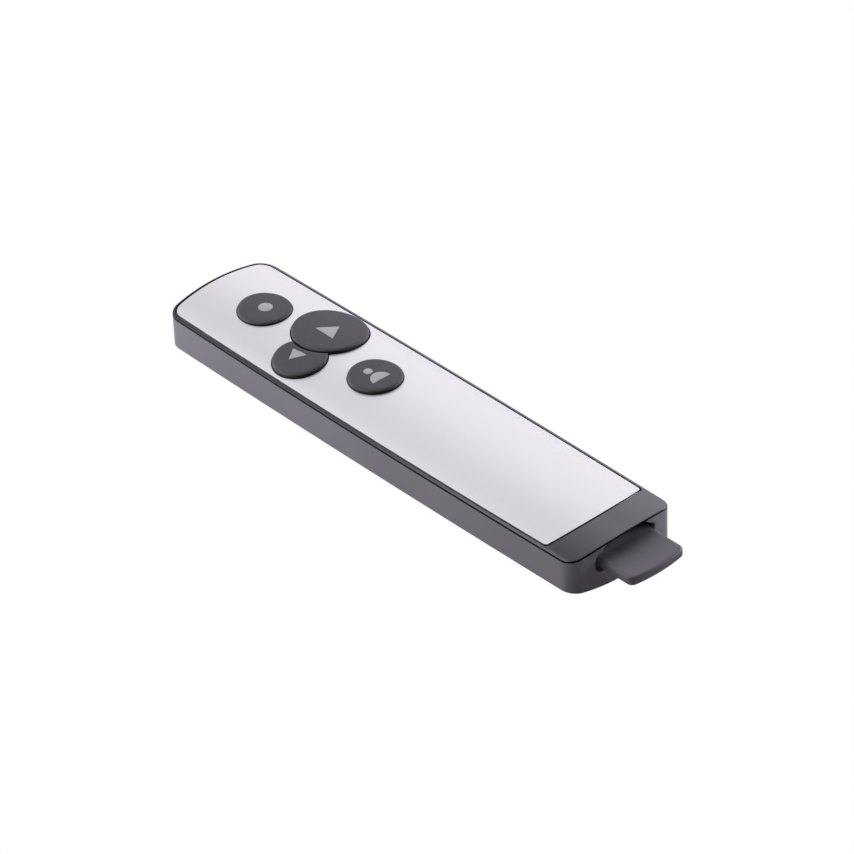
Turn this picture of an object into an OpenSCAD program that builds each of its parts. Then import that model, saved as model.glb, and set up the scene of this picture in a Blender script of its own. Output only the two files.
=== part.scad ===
// Slim wireless presentation clicker with a pull-out USB receiver.
// Body frame: X across, +Y towards the laser end, Z up from the flat strip of the belly.

/* [Body] */
// Width of the body at its middle
body_w = 36; // [34:0.5:40]
// Length of the body between the crowns of its two ends
body_l = 154.5; // [150:0.5:180]
// Height of the body at its centre line, without the buttons
body_h = 13.05; // [13:0.05:16]
// How much lower the top is at the sides than at the centre line
crown = 2.45; // [1.5:0.05:3]
// How much higher the belly is at the sides than at the centre line
belly_rise = 1.6; // [0.8:0.1:2.5]
// Depth by which the round belly is cut flat, so that it rests without rocking
belly_flat = 0.12; // [0.05:0.01:0.3]
// How far the long sides bow out
side_bow = 0.7; // [0.3:0.1:2]
// How far the receiver end bows out
usb_end_bow = 1.9; // [0.5:0.1:4]
// How far the laser end bows out
laser_end_bow = 1; // [0.5:0.1:4]
// Corner radius in plan at the receiver end
usb_corner_r = 4.2; // [3:0.1:7]
// Corner radius in plan at the laser end
laser_corner_r = 4.7; // [3:0.1:7]

/* [Case walls] */
// Thickness of the side walls and the laser-end wall
wall = 1.6; // [1.4:0.1:2]
// Thickness of the receiver-end wall
usb_wall = 3; // [2.6:0.1:4]
// Thickness of the belly
floor_t = 1.2; // [1:0.1:1.6]
// Height of the frame's outer edge above the case wall
frame_edge = 0.45; // [0.3:0.05:0.8]
// Width of the outer half of the lap joint round the case's top
lap_w = 0.8; // [0.6:0.1:1]
// Depth of the lap joint below the crowned top
lap_drop = 1.1; // [0.8:0.1:1.4]
// Thickness of the ribs and cross walls inside
rib_t = 1; // [0.8:0.1:1.4]

/* [Top frame and plate] */
// Thickness of the frame's deck with the plate on it
deck_drop = 1.5; // [1.4:0.1:2]
// Thickness of the aluminium plate
plate_t = 0.5; // [0.4:0.05:0.8]
// Width of the plate at its middle
plate_w = 33.3; // [31:0.1:35]
// Rim of the frame between the plate and the laser end
plate_end_gap = 0.9; // [0.6:0.1:3]
// Length of the frame's bare lip between the plate and the receiver end
lip_l = 9.5; // [6:0.5:16]
// How far the plate's edge at the lip bows out
plate_lip_bow = 2.2; // [0.5:0.1:4]
// Corner radius of the plate at the lip
plate_lip_r = 1.2; // [0.5:0.1:3]
// Corner radius of the plate at the laser end
plate_laser_r = 3.5; // [1:0.1:5]
// Height down to which the frame's locating skirt reaches
skirt_z = 8.5; // [8:0.1:8.6]
// Thickness of the locating skirt
skirt_t = 0.9; // [0.7:0.1:1.2]

/* [Buttons] */
// Radius of the laser button and of the blank-screen button
small_button_r = 7.3; // [6:0.1:7.8]
// Radius of the forward button
forward_r = 10.3; // [8:0.1:10.5]
// Radius of the back button, whose inner side the forward button bites
back_r = 7.35; // [6:0.05:7.6]
// Place of the laser button along the body
laser_y = 56.9; // [54:0.1:57.5]
// Place of the forward button across the body
forward_x = 5.4; // [4:0.1:6]
// Place of the forward button along the body
forward_y = 37.3; // [35:0.1:39]
// Place of the back button across the body
back_x = -8; // [-8.4:0.1:-7]
// Place of the back button along the body
back_y = 33.9; // [31:0.1:36]
// Place of the blank-screen button along the body
blank_y = 13.8; // [13.6:0.1:16]
// Height of the laser button above the plate
laser_h = 0.8; // [0.5:0.05:1.6]
// Height of the forward button above the plate
forward_h = 1.05; // [0.5:0.05:1.6]
// Height of the back button above the plate
back_h = 1.05; // [0.5:0.05:1.6]
// Height of the blank-screen button above the plate
blank_h = 1; // [0.5:0.05:1.6]
// Travel of every button
button_travel = 0.5; // [0.3:0.05:0.6]
// Width of the retaining flange round the foot of each cap
flange_w = 0.6; // [0.4:0.1:0.8]
// Thickness of the retaining flange
flange_t = 0.7; // [0.5:0.1:0.8]
// Wall of the hollow caps
cap_wall = 1.3; // [1:0.1:1.6]
// Radius of the stem under each cap
stem_r = 2.2; // [1.8:0.1:2.6]

/* [Board and switches] */
// Underside of the main board above the belly
board_z = 5.2; // [4.6:0.1:5.4]
// Thickness of the main board
board_t = 1; // [0.8:0.1:1.2]
// Width of the main board
board_w = 29.2; // [27:0.1:29.4]
// End of the main board nearest the batteries
board_y_lo = 6.4; // [6.2:0.1:8]
// End of the main board nearest the laser
board_y_hi = 61.3; // [60:0.1:61.5]
// Side of a switch's square body
switch_w = 6; // [5:0.1:6.4]
// Height of a switch's body
switch_h = 3; // [2.5:0.1:3.1]
// Radius of a switch's plunger
plunger_r = 1.7; // [1.4:0.1:2]
// Depth of a plunger inside the switch at rest
plunger_sink = 0.45; // [0.3:0.05:0.6]
// Radius of a screw's head
screw_head_r = 1.6; // [1.4:0.1:1.8]
// Height of a screw's head
screw_head_h = 0.9; // [0.7:0.1:1.1]
// Radius of a screw's shank
screw_r = 0.8; // [0.7:0.05:0.9]
// Length of a screw's shank
screw_l = 4; // [3:0.1:4]
// Radius of the posts and bosses that take the screws
post_r = 1.9; // [1.7:0.1:2.1]

/* [Laser] */
// Height of the laser's axis above the belly
laser_z = 5.7; // [5.5:0.05:5.9]
// Outer radius of the laser barrel
barrel_r = 3.2; // [3.1:0.05:3.4]
// Inner radius of the laser barrel
barrel_bore_r = 2.95; // [2.85:0.05:3]
// Length of the laser barrel
barrel_l = 12; // [10:0.5:12]
// Radius of the laser window
window_r = 2.4; // [2:0.1:3]
// Thickness of the laser window
window_t = 0.9; // [0.6:0.1:1]
// Radius of the hole that the beam leaves by
aperture_r = 1.6; // [1.2:0.1:2]

/* [Batteries] */
// Radius of an AAA cell
cell_r = 5.25; // [5.1:0.05:5.3]
// Length of an AAA cell with its nub
cell_l = 44.5; // [43.3:0.1:44.5]
// Length of the nub
nub_l = 1; // [0.8:0.1:1.2]
// Radius of the nub
nub_r = 1.9; // [1.7:0.1:2]
// Distance of each cell's axis from the centre line
cell_x = 5.3; // [5.3:0.05:5.6]
// End of the bay nearest the board
bay_y_hi = 4.2; // [4:0.1:4.4]
// Length that each battery spring is squeezed to
spring_l = 2.4; // [2:0.1:3]
// Wire radius of a battery spring
spring_wire_r = 0.25; // [0.2:0.05:0.35]
// Thickness of the contact plates
contact_t = 0.3; // [0.2:0.05:0.4]
// Width of the battery door
door_w = 24.8; // [24:0.1:26]
// Thickness of the battery door
door_t = 1; // [0.8:0.1:1.1]
// Corner radius of the battery door
door_r = 2; // [1:0.1:4]

/* [Receiver] */
// Width of the receiver's cap
cap_w = 18.4; // [16:0.1:19]
// Length of the receiver's cap
cap_l = 20; // [18:0.5:21]
// How far the receiver stands out of the body at rest
receiver_out = 11.6; // [9:0.1:12]
// Height of the cap's flat outer part
cap_h_out = 2.55; // [2.4:0.05:3.2]
// Length of the cap's flat outer part
tongue_l = 12.2; // [11.8:0.1:13]
// Height of the cap at its plug end
cap_h_in = 5.6; // [5.4:0.1:5.8]
// Height of the cap's middle above the belly
receiver_z = 7.85; // [7.7:0.05:8]
// Corner radius of the cap's outer end in plan
cap_corner_r = 1.9; // [1.2:0.1:3]
// How far the middle of the cap's outer end stands out
nose_bow = 0.9; // [0.3:0.1:1.5]
// Edge radius of the cap
cap_edge_r = 0.7; // [0.5:0.1:1.2]
// Wall of the cap's shells
cap_shell_t = 0.9; // [0.7:0.1:1]
// Width of the metal plug
plug_w = 12; // [11.9:0.1:12.1]
// Height of the metal plug
plug_h = 4.5; // [4.4:0.1:4.6]
// Length of the metal plug outside the cap
plug_l = 12; // [11.75:0.05:12.5]
// Sheet thickness of the metal plug
plug_t = 0.3; // [0.25:0.05:0.35]

/* [Dock] */
// Gap between the cap and each end of the dock's mouth
mouth_gap = 1; // [0.4:0.1:1.4]
// Gap between the cap and the mouth above and below
mouth_lift = 0.15; // [0.1:0.05:0.3]
// Corner radius of the mouth
mouth_r = 1.8; // [1:0.1:2.4]
// Gap between the cap and the tray's side walls
guide_gap = 0.35; // [0.25:0.05:0.4]
// Width of the finger scoop under the lip
scoop_top_w = 11.8; // [8:0.1:16]
// Depth of the finger scoop
scoop_d = 2; // [1:0.1:2.2]
// Wall of the dock's tray
tray_t = 1.2; // [1:0.1:1.4]

/* [Fits] */
// Gap between two moulded parts that are pushed together
fit = 0.1; // [0.05:0.05:0.2]
// Gap round a button in the plate
button_gap = 0.15; // [0.1:0.05:0.3]
// Gap between the forward button and the back button
bite_gap = 0.35; // [0.2:0.05:0.6]
// Gap round the battery door
door_gap = 0.15; // [0.1:0.05:0.3]
// Radial clearance of a shaft that slides or turns in a hole
running = 0.05; // [0.03:0.01:0.1]

/* [Hidden] */
$fn = 96;

half_w = body_w / 2;
half_l = body_l / 2;
crown_r = sagitta_radius(half_w, crown);
belly_r = sagitta_radius(half_w, belly_rise + belly_flat);
side_r = sagitta_radius(half_l, side_bow);
side_centre = half_w - side_r;
// The frame's origin is under the middle of the whole object, receiver included.
frame_shift = receiver_out / 2;
over = 1;
deep = 40;

board_top = board_z + board_t;
switch_top = board_top + switch_h;
plunger_z = switch_top - plunger_sink;
stem_z = plunger_z + 1.15;
laser_back_y = half_l - wall - fit - barrel_l - 1.1;
cell_z = floor_t + cell_r - 0.05;
bay_l = cell_l + spring_l + 3 * contact_t;
bay_y_lo = bay_y_hi - bay_l;
bay_half_w = cell_x + cell_r + 0.25;
door_y_hi = bay_y_hi + rib_t + 0.4;
door_y_lo = bay_y_lo - rib_t - 0.7;
door_skin = 0.05;
receiver_y = -half_l - receiver_out;
cap_y_in = receiver_y + cap_l;
plug_tip_y = cap_y_in + plug_l;
plug_root = 1.5;
slope_l = 4.3;
root_step = 0.1;
parting_z = receiver_z + cap_h_out / 2 - cap_shell_t - 0.2;
mouth_w = cap_w + 2 * mouth_gap;
mouth_h = cap_h_in + 2 * mouth_lift;
mouth_z = receiver_z - mouth_h / 2;
tray_half = cap_w / 2 + guide_gap;
tray_y_lo = -half_l + usb_wall + fit;
tray_y_hi = bay_y_lo - rib_t - 2 * fit;
ear_z = 5.6;
ear_x = tray_half + tray_t + post_r + fit;
ear_ys = [-67, -51];
post_x = 12.6;
post_ys = [board_y_lo + 3.6, board_y_hi - 3.6];
hook_ys = [-62, -22, 22, 62];
hook_z = 8.7;
pin_r = 0.22;
cradle_ys = [laser_back_y + 3.4, laser_back_y + 9];

// Radius of the arc that rises by sagitta over half_chord.
function sagitta_radius(half_chord, sagitta) = (half_chord * half_chord + sagitta * sagitta) / (2 * sagitta);
function angle_of(v) = atan2(v.y, v.x);
// Points of an arc, without the last one.
function arc(c, r, a0, a1, n) = [for (i = [0:n - 1]) let (a = a0 + (a1 - a0) * i / n) c + r * [cos(a), sin(a)]];
// Where two circles meet: the crossing that lies further along +Y, or along -Y where side is -1.
function meet(c0, r0, c1, r1, side) =
    let (
        d = norm(c1 - c0),
        e = (c1 - c0) / d,
        x = (d * d + r0 * r0 - r1 * r1) / (2 * d),
        y = sqrt(max(r0 * r0 - x * x, 0)),
        n = [-e.y, e.x],
        p = c0 + e * x + n * y,
        q = c0 + e * x - n * y
    )
    (p.y - q.y) * side > 0 ? p : q;

// Plan outline of a bar with bowed sides, bowed ends and round corners, drawn inset from its edge.
function bar_outline(half, y_lo, y_hi, lo_bow, hi_bow, lo_corner, hi_corner, inset = 0) =
    let (
        r_side = half - side_centre - inset,
        r_lo = sagitta_radius(half, lo_bow) - inset,
        r_hi = sagitta_radius(half, hi_bow) - inset,
        k_lo = max(lo_corner - inset, 0.3),
        k_hi = max(hi_corner - inset, 0.3),
        c_side = [side_centre, 0],
        c_lo = [0, y_lo + inset + r_lo],
        c_hi = [0, y_hi - inset - r_hi],
        f_lo = meet(c_side, r_side - k_lo, c_lo, r_lo - k_lo, -1),
        f_hi = meet(c_side, r_side - k_hi, c_hi, r_hi - k_hi, 1),
        right = concat(
            arc(c_lo, r_lo, -90, angle_of(f_lo - c_lo), 6),
            arc(f_lo, k_lo, angle_of(f_lo - c_lo), angle_of(f_lo - c_side), 9),
            arc(c_side, r_side, angle_of(f_lo - c_side), angle_of(f_hi - c_side), 8),
            arc(f_hi, k_hi, angle_of(f_hi - c_side), angle_of(f_hi - c_hi), 9),
            arc(c_hi, r_hi, angle_of(f_hi - c_hi), 90, 6)
        )
    )
    concat(right, [[0, y_hi - inset]], [for (i = [len(right) - 1:-1:1]) [-right[i].x, right[i].y]]);

module body_plan(inset = 0)
    polygon(bar_outline(half_w, -half_l, half_l, usb_end_bow, laser_end_bow, usb_corner_r, laser_corner_r, inset));

module plate_plan(inset = 0)
    polygon(bar_outline(plate_w / 2, -half_l + lip_l, half_l - plate_end_gap, plate_lip_bow, laser_end_bow,
        plate_lip_r, plate_laser_r, inset));

module rounded_rect(w, l, r) {
    for (x = [-1, 1], y = [-1, 1]) translate([x * (w / 2 - r), y * (l / 2 - r)]) circle(r);
    square([w - 2 * r, l], center = true);
    square([w, l - 2 * r], center = true);
}

// Everything under the crowned top, moved down by drop.
module under_crown(drop = 0)
    translate([0, 0, body_h - crown_r]) rotate([90, 0, 0])
        cylinder(r = crown_r - drop, h = 2 * body_l, center = true, $fn = 360);

// Everything over the round belly, moved up by rise.
module over_belly(rise = 0)
    translate([0, 0, belly_r - belly_flat]) rotate([90, 0, 0])
        cylinder(r = belly_r - rise, h = 2 * body_l, center = true, $fn = 360);

module box(x0, x1, y0, y1, z0, z1) translate([x0, y0, z0]) cube([x1 - x0, y1 - y0, z1 - z0]);

module both_sides() {
    children();
    mirror([1, 0, 0]) children();
}

// A slice of the plan shape between two depths under the crown.
module crowned_slab(drop_top, drop_bottom) {
    difference() {
        intersection() {
            linear_extrude(deep) children();
            under_crown(drop_top);
        }
        under_crown(drop_bottom);
    }
}

module y_cylinder(r, y0, y1, x = 0, z = 0)
    translate([x, y0, z]) rotate([-90, 0, 0]) cylinder(r = r, h = y1 - y0);

// ---------------------------------------------------------------- bottom case

module case_blank() {
    difference() {
        intersection() {
            linear_extrude(deep) body_plan();
            under_crown(frame_edge);
            over_belly();
        }
        difference() {
            linear_extrude(deep) body_plan(lap_w);
            under_crown(lap_drop);
        }
        intersection() {
            translate([0, 0, -over]) linear_extrude(deep) body_plan(wall);
            over_belly(floor_t);
            box(-half_w, half_w, -half_l + usb_wall, half_l, -over, deep);
        }
        // Opening for the battery door
        translate([0, 0, -over]) linear_extrude(over + floor_t + belly_rise) door_plan(door_gap);
    }
}

module mouth_cut() {
    translate([0, -half_l + usb_wall + over, receiver_z]) rotate([90, 0, 0])
        linear_extrude(usb_wall + 2 * over) rounded_rect(mouth_w, mouth_h, mouth_r);
}

// Finger recess over the receiver, which runs from the mouth up under the frame's lip.
module scoop_cut() {
    foot = mouth_w / 2 - mouth_r * 0.8;
    shoulder_z = mouth_z + mouth_h - 0.5;
    translate([0, -half_l + scoop_d, 0]) rotate([90, 0, 0]) linear_extrude(scoop_d + over)
        polygon([
            [-foot, receiver_z], [foot, receiver_z],
            [foot, shoulder_z], [scoop_top_w / 2, body_h],
            [-scoop_top_w / 2, body_h], [-foot, shoulder_z]
        ]);
}

module door_plan(gap = 0)
    translate([0, (door_y_hi + door_y_lo) / 2])
        rounded_rect(door_w + 2 * gap, door_y_hi - door_y_lo + 2 * gap, door_r + gap);

module screw_bore(x, y, z_top)
    translate([x, y, z_top - screw_l + board_t - 0.15]) cylinder(r = screw_r + running, h = screw_l);

module post(x, y, z_top) {
    intersection() {
        translate([x, y, 0]) cylinder(r = post_r, h = z_top);
        over_belly(floor_t / 2);
    }
}

// Walls round the battery bay, with webs that tie them to the case's sides.
module bay_walls() {
    intersection() {
        union() {
            both_sides() box(bay_half_w, bay_half_w + rib_t, bay_y_lo - rib_t, bay_y_hi + rib_t, door_t, deep);
            for (y = [bay_y_lo - rib_t, bay_y_hi])
                box(-half_w + over, half_w - over, y, y + rib_t, door_t, deep);
            both_sides() for (y = [-36, -20, -4])
                box(bay_half_w, half_w - over, y, y + rib_t, door_t, board_z);
        }
        under_crown(deck_drop + fit);
        over_belly(door_t + door_skin + fit);
        linear_extrude(deep) body_plan(wall / 2);
    }
}

module laser_cradle() {
    difference() {
        intersection() {
            for (y = cradle_ys) box(-5, 5, y, y + rib_t, 0, laser_z);
            over_belly(floor_t / 2);
        }
        y_cylinder(barrel_r + running, laser_back_y, half_l, 0, laser_z);
    }
}

module hooks(inset_out, inset_in, z0, z1, half) {
    difference() {
        intersection() {
            linear_extrude(deep) body_plan(inset_out);
            both_sides() for (y = hook_ys) box(0, half_w, y - half, y + half, z0, z1);
        }
        linear_extrude(deep) body_plan(inset_in);
    }
}

module bottom_case() {
    color([0.42, 0.41, 0.43]) difference() {
        union() {
            case_blank();
            bay_walls();
            laser_cradle();
            both_sides() {
                for (y = post_ys) post(post_x, y, board_z);
                for (y = ear_ys) post(ear_x, y, ear_z);
            }
        }
        mouth_cut();
        scoop_cut();
        // Slots for the door's tabs
        both_sides() {
            box(6 - door_gap, 10 + door_gap, bay_y_hi - over, door_y_hi + door_gap, -over, 3.6);
            box(6 - door_gap, 10 + door_gap, bay_y_hi - over, door_y_hi + 1.8, 1.65, 3.6);
        }
        both_sides() {
            for (y = post_ys) screw_bore(post_x, y, board_z);
            for (y = ear_ys) screw_bore(ear_x, y, ear_z);
        }
        // Pockets for the frame's hooks
        hooks(wall - 0.5, wall + over, hook_z - 0.15, hook_z + 0.6, 2.3);
        // Beam hole, with a seat for the window
        y_cylinder(aperture_r, half_l - wall - over, half_l + over, 0, laser_z);
        y_cylinder(window_r + running, half_l - window_t - 0.15, half_l + over, 0, laser_z);
    }
}

// ------------------------------------------------------------ frame and plate

module button_plan(r, x, y) translate([x, y]) circle(r);

module button_holes(gap) {
    button_plan(small_button_r + gap, 0, laser_y);
    button_plan(small_button_r + gap, 0, blank_y);
    button_plan(forward_r + gap, forward_x, forward_y);
    button_plan(back_r + gap, back_x, back_y);
}

module top_frame() {
    inner = wall + fit;
    color([0.1, 0.1, 0.11]) difference() {
        union() {
            crowned_slab(0, frame_edge) body_plan();
            crowned_slab(frame_edge / 2, lap_drop - fit / 2) body_plan(lap_w + fit / 2);
            crowned_slab(frame_edge / 2, deck_drop)
                intersection() {
                    body_plan(inner);
                    translate([-half_w, -half_l + usb_wall + fit]) square([body_w, body_l]);
                }
            // Locating skirt inside the case's walls
            intersection() {
                translate([0, 0, skirt_z]) linear_extrude(deep)
                    difference() {
                        body_plan(inner);
                        body_plan(inner + skirt_t);
                    }
                under_crown(lap_drop / 2);
                box(-half_w, half_w, tray_y_lo + 0.5, half_l, 0, deep);
            }
            hooks(wall - 0.35, inner + skirt_t / 2, hook_z, hook_z + 0.45, 2);
            // Rib that holds the laser barrel down
            intersection() {
                box(-4, 4, cradle_ys[1], cradle_ys[1] + rib_t, laser_z + barrel_r + fit, deep);
                under_crown(lap_drop);
            }
        }
        // Pocket for the plate
        difference() {
            linear_extrude(deep) plate_plan();
            under_crown(plate_t);
        }
        linear_extrude(deep) button_holes(button_gap);
        // Grooves over the cells
        both_sides() y_cylinder(cell_r + 0.15, bay_y_lo, bay_y_hi, cell_x, cell_z);
        // The skirt clears the cross walls of the bay
        for (y = [bay_y_lo - rib_t, bay_y_hi])
            intersection() {
                box(-half_w, half_w, y - 2 * fit, y + rib_t + 2 * fit, 0, deep);
                under_crown(deck_drop);
            }
    }
}

module face_plate() {
    color([0.82, 0.81, 0.83]) crowned_slab(0, plate_t)
        difference() {
            plate_plan(fit / 2);
            button_holes(button_gap);
        }
}

// -------------------------------------------------------------------- buttons

// A hollow rubber cap: disc through the plate, flange under the deck, stem on the switch.
module cap(x, y, r, h) {
    flange_top = deck_drop + fit;
    flange_low = flange_top + flange_t;
    difference() {
        union() {
            crowned_slab(-h, flange_low) children(0);
            crowned_slab(flange_top, flange_low) children(1);
            intersection() {
                translate([x, y, stem_z]) cylinder(r = stem_r, h = deep);
                under_crown(0);
            }
        }
        intersection() {
            difference() {
                translate([x, y, 0]) cylinder(r = r - cap_wall, h = deep);
                translate([x, y, -over]) cylinder(r = stem_r, h = deep + 2 * over);
            }
            under_crown(cap_wall - h);
            linear_extrude(deep) children(2);
        }
    }
}

module round_cap(y, h) {
    cap(0, y, small_button_r, h) {
        button_plan(small_button_r, 0, y);
        button_plan(small_button_r + flange_w, 0, y);
        button_plan(small_button_r, 0, y);
    }
}

module laser_button() color([0.25, 0.25, 0.27]) round_cap(laser_y, laser_h);
module blank_button() color([0.25, 0.25, 0.27]) round_cap(blank_y, blank_h);

module forward_button() {
    color([0.25, 0.25, 0.27]) cap(forward_x, forward_y, forward_r, forward_h) {
        button_plan(forward_r, forward_x, forward_y);
        difference() {
            intersection() {
                button_plan(forward_r + flange_w, forward_x, forward_y);
                body_plan(wall + skirt_t + 3 * fit);
            }
            button_plan(back_r + flange_w + bite_gap, back_x, back_y);
        }
        button_plan(forward_r, forward_x, forward_y);
    }
}

module back_plan(grow = 0)
    difference() {
        button_plan(back_r + grow, back_x, back_y);
        button_plan(forward_r + bite_gap, forward_x, forward_y);
    }

module back_button() {
    color([0.25, 0.25, 0.27]) cap(back_x, back_y, back_r, back_h) {
        back_plan();
        intersection() {
            back_plan(flange_w);
            body_plan(wall + skirt_t + 3 * fit);
        }
        difference() {
            button_plan(back_r, back_x, back_y);
            button_plan(forward_r + bite_gap + cap_wall, forward_x, forward_y);
        }
    }
}

module plunger(x, y) {
    color([0.12, 0.12, 0.13]) translate([x, y, plunger_z])
        cylinder(r = plunger_r, h = stem_z - plunger_z);
}

module laser_plunger() plunger(0, laser_y);
module forward_plunger() plunger(forward_x, forward_y);
module back_plunger() plunger(back_x, back_y);
module blank_plunger() plunger(0, blank_y);

// Square tactile switch with four legs and a well for its plunger.
module tact_switch(x, y) {
    well = plunger_sink + button_travel + running;
    color([0.75, 0.75, 0.76]) difference() {
        translate([x, y, board_top]) union() {
            box(-switch_w / 2, switch_w / 2, -switch_w / 2, switch_w / 2, 0, switch_h);
            for (dx = [-1, 1], dy = [-2.2, 2.2])
                box(dx < 0 ? -switch_w / 2 - 1.1 : switch_w / 2 - 0.2, dx < 0 ? 0.2 - switch_w / 2 : switch_w / 2 + 1.1,
                    dy - 0.35, dy + 0.35, 0, 0.3);
        }
        translate([x, y, switch_top - well]) cylinder(r = plunger_r + running, h = well + over);
    }
}

module laser_switch() tact_switch(0, laser_y);
module forward_switch() tact_switch(forward_x, forward_y);
module back_switch() tact_switch(back_x, back_y);
module blank_switch() tact_switch(0, blank_y);

// ---------------------------------------------------------------------- board

module main_board() {
    color([0.1, 0.35, 0.2]) difference() {
        box(-board_w / 2, board_w / 2, board_y_lo, board_y_hi, board_z, board_top);
        both_sides() for (y = post_ys) translate([post_x, y, 0]) cylinder(r = screw_r + fit, h = deep);
    }
}

module on_board(x, y, w, l, h) box(x - w / 2, x + w / 2, y - l / 2, y + l / 2, board_top, board_top + h);

module controller_chip() {
    color([0.08, 0.08, 0.09]) {
        on_board(-8.5, 21.5, 6, 5, 1.4);
        for (i = [-1.5:1:1.5], s = [-1, 1]) on_board(-8.5 + i * 1.27, 21.5 + s * 3, 0.4, 1, 0.25);
    }
}

module radio_chip() color([0.08, 0.08, 0.09]) on_board(8.5, 22, 5, 5, 0.9);

module crystal_can() {
    r = 2.2;
    half = 3.3;
    color([0.8, 0.8, 0.8]) translate([board_w / 2 - half - r, 50.6, board_top]) linear_extrude(3.2) {
        for (s = [-half, half]) translate([s, 0]) circle(r);
        square([2 * half, 2 * r], center = true);
    }
}

module board_capacitors() {
    color([0.72, 0.6, 0.42])
        for (p = [[3.5, 25], [3.5, 22], [3.5, 19], [12.6, 17], [-3.4, 24], [-12.6, 45], [-12.6, 49]])
            on_board(p.x, p.y, 1.25, 2, 0.8);
}

module chip_antenna() color([0.9, 0.9, 0.85]) on_board(-9.2, 52.5, 3, 7, 1.1);

module screw(x, y, z) {
    translate([x, y, z - screw_l]) cylinder(r = screw_r, h = screw_l + 0.1);
    difference() {
        translate([x, y, z]) cylinder(r = screw_head_r, h = screw_head_h);
        for (a = [0, 90]) translate([x, y, z + screw_head_h]) rotate(a)
            cube([1.8, 0.4, 0.8], center = true);
    }
}

module fixing_screws() {
    color([0.7, 0.7, 0.72]) both_sides() {
        for (y = post_ys) screw(post_x, y, board_top);
        for (y = ear_ys) screw(ear_x, y, ear_z + tray_t);
    }
}

// ---------------------------------------------------------------------- laser

module laser_barrel() {
    color([0.75, 0.6, 0.3]) difference() {
        y_cylinder(barrel_r, laser_back_y, laser_back_y + barrel_l, 0, laser_z);
        y_cylinder(barrel_bore_r, laser_back_y - over, laser_back_y + barrel_l + over, 0, laser_z);
    }
}

// Can with its base flange, and three pins that straddle the board's edge.
module laser_diode() {
    base_y = laser_back_y + 0.3;
    pin_rise = board_t / 2 + pin_r + 0.01;
    mid = board_z + board_t / 2;
    color([0.8, 0.7, 0.4]) {
        y_cylinder(barrel_bore_r - running, base_y, base_y + 1.2, 0, laser_z);
        y_cylinder(2.3, base_y + 1.1, base_y + 3.5, 0, laser_z);
        for (p = [[-1, pin_rise], [1, pin_rise], [0, -pin_rise]])
            y_cylinder(pin_r, board_y_hi - 1.2, base_y + 0.1, p.x, mid + p.y);
    }
}

module laser_lens() {
    lens_y = laser_back_y + barrel_l - 2.4;
    color([0.8, 0.9, 0.95, 0.5]) intersection() {
        y_cylinder(barrel_bore_r - running, lens_y - 1, lens_y + 3, 0, laser_z);
        translate([0, lens_y - 5, laser_z]) sphere(r = 6.5);
        translate([0, lens_y + 7.2, laser_z]) sphere(r = 7.5);
    }
}

module laser_window() {
    color([0.3, 0.05, 0.05, 0.7])
        y_cylinder(window_r, half_l - window_t - 0.15, half_l - 0.15, 0, laser_z);
}

// ------------------------------------------------------------------ batteries

// A cell with its nub towards +Y where up is 1, and towards -Y where it is -1.
module cell(x, y_nub, up) {
    translate([x, y_nub, cell_z]) rotate([up > 0 ? 90 : -90, 0, 0]) {
        translate([0, 0, nub_l]) cylinder(r = cell_r - 0.4, h = cell_l - nub_l);
        translate([0, 0, nub_l + 0.4]) cylinder(r = cell_r, h = cell_l - nub_l - 0.8);
        cylinder(r = nub_r, h = nub_l + 0.1);
    }
}

module cell_left() color([0.15, 0.35, 0.6]) cell(-cell_x, bay_y_hi - 2 * contact_t, 1);
module cell_right() color([0.15, 0.35, 0.6]) cell(cell_x, bay_y_lo + 2 * contact_t, -1);

// Conical spring: a round wire swept along a helix whose radius shrinks from foot to tip.
module battery_spring(x, y, towards) {
    turns = 2.5;
    steps = 30;
    sides = 8;
    foot_r = 3.6;
    tip_r = 1.9;
    rise = spring_l - 2 * spring_wire_r - 0.1;
    function axis_point(t) =
        let (a = 360 * turns * t, r = foot_r + (tip_r - foot_r) * t)
        [r * cos(a), r * sin(a), spring_wire_r + 0.05 + rise * t];
    rings = [for (i = [0:steps], k = [0:sides - 1])
        let (
            t = i / steps,
            a = 360 * turns * t,
            b = 360 * k / sides,
            out = [cos(a), sin(a), 0]
        )
        axis_point(t) + spring_wire_r * (cos(b) * out + sin(b) * [0, 0, 1])];
    walls = [for (i = [0:steps - 1], k = [0:sides - 1])
        let (n = (k + 1) % sides)
        [i * sides + k, (i + 1) * sides + k, (i + 1) * sides + n, i * sides + n]];
    ends = [[for (k = [0:sides - 1]) k], [for (k = [sides - 1:-1:0]) steps * sides + k]];
    translate([x, y, cell_z]) rotate([towards > 0 ? -90 : 90, 0, 0])
        polyhedron(rings, concat(walls, ends));
}

module battery_springs() {
    color([0.8, 0.8, 0.82]) {
        battery_spring(-cell_x, bay_y_lo + contact_t, 1);
        battery_spring(cell_x, bay_y_hi - contact_t, -1);
    }
}

// Contact plate against a cross wall; towards is the side that the cell is on.
module contact(x, y_wall, towards, dimple) {
    y0 = towards > 0 ? y_wall : y_wall - contact_t;
    box(x - 4, x + 4, y0, y0 + contact_t, cell_z - 3.4, cell_z + 3.6);
    if (dimple)
        y_cylinder(1.5, towards > 0 ? y_wall : y_wall - 2 * contact_t,
            towards > 0 ? y_wall + 2 * contact_t : y_wall, x, cell_z);
}

module positive_plate() color([0.8, 0.8, 0.82]) contact(-cell_x, bay_y_hi, -1, true);
module negative_plate() color([0.8, 0.8, 0.82]) contact(cell_x, bay_y_hi, -1, false);

module bridge_plate() {
    color([0.8, 0.8, 0.82]) {
        contact(-cell_x, bay_y_lo, 1, false);
        contact(cell_x, bay_y_lo, 1, true);
        box(-cell_x, cell_x, bay_y_lo, bay_y_lo + contact_t, cell_z - 1.5, cell_z + 1.5);
    }
}

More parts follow.
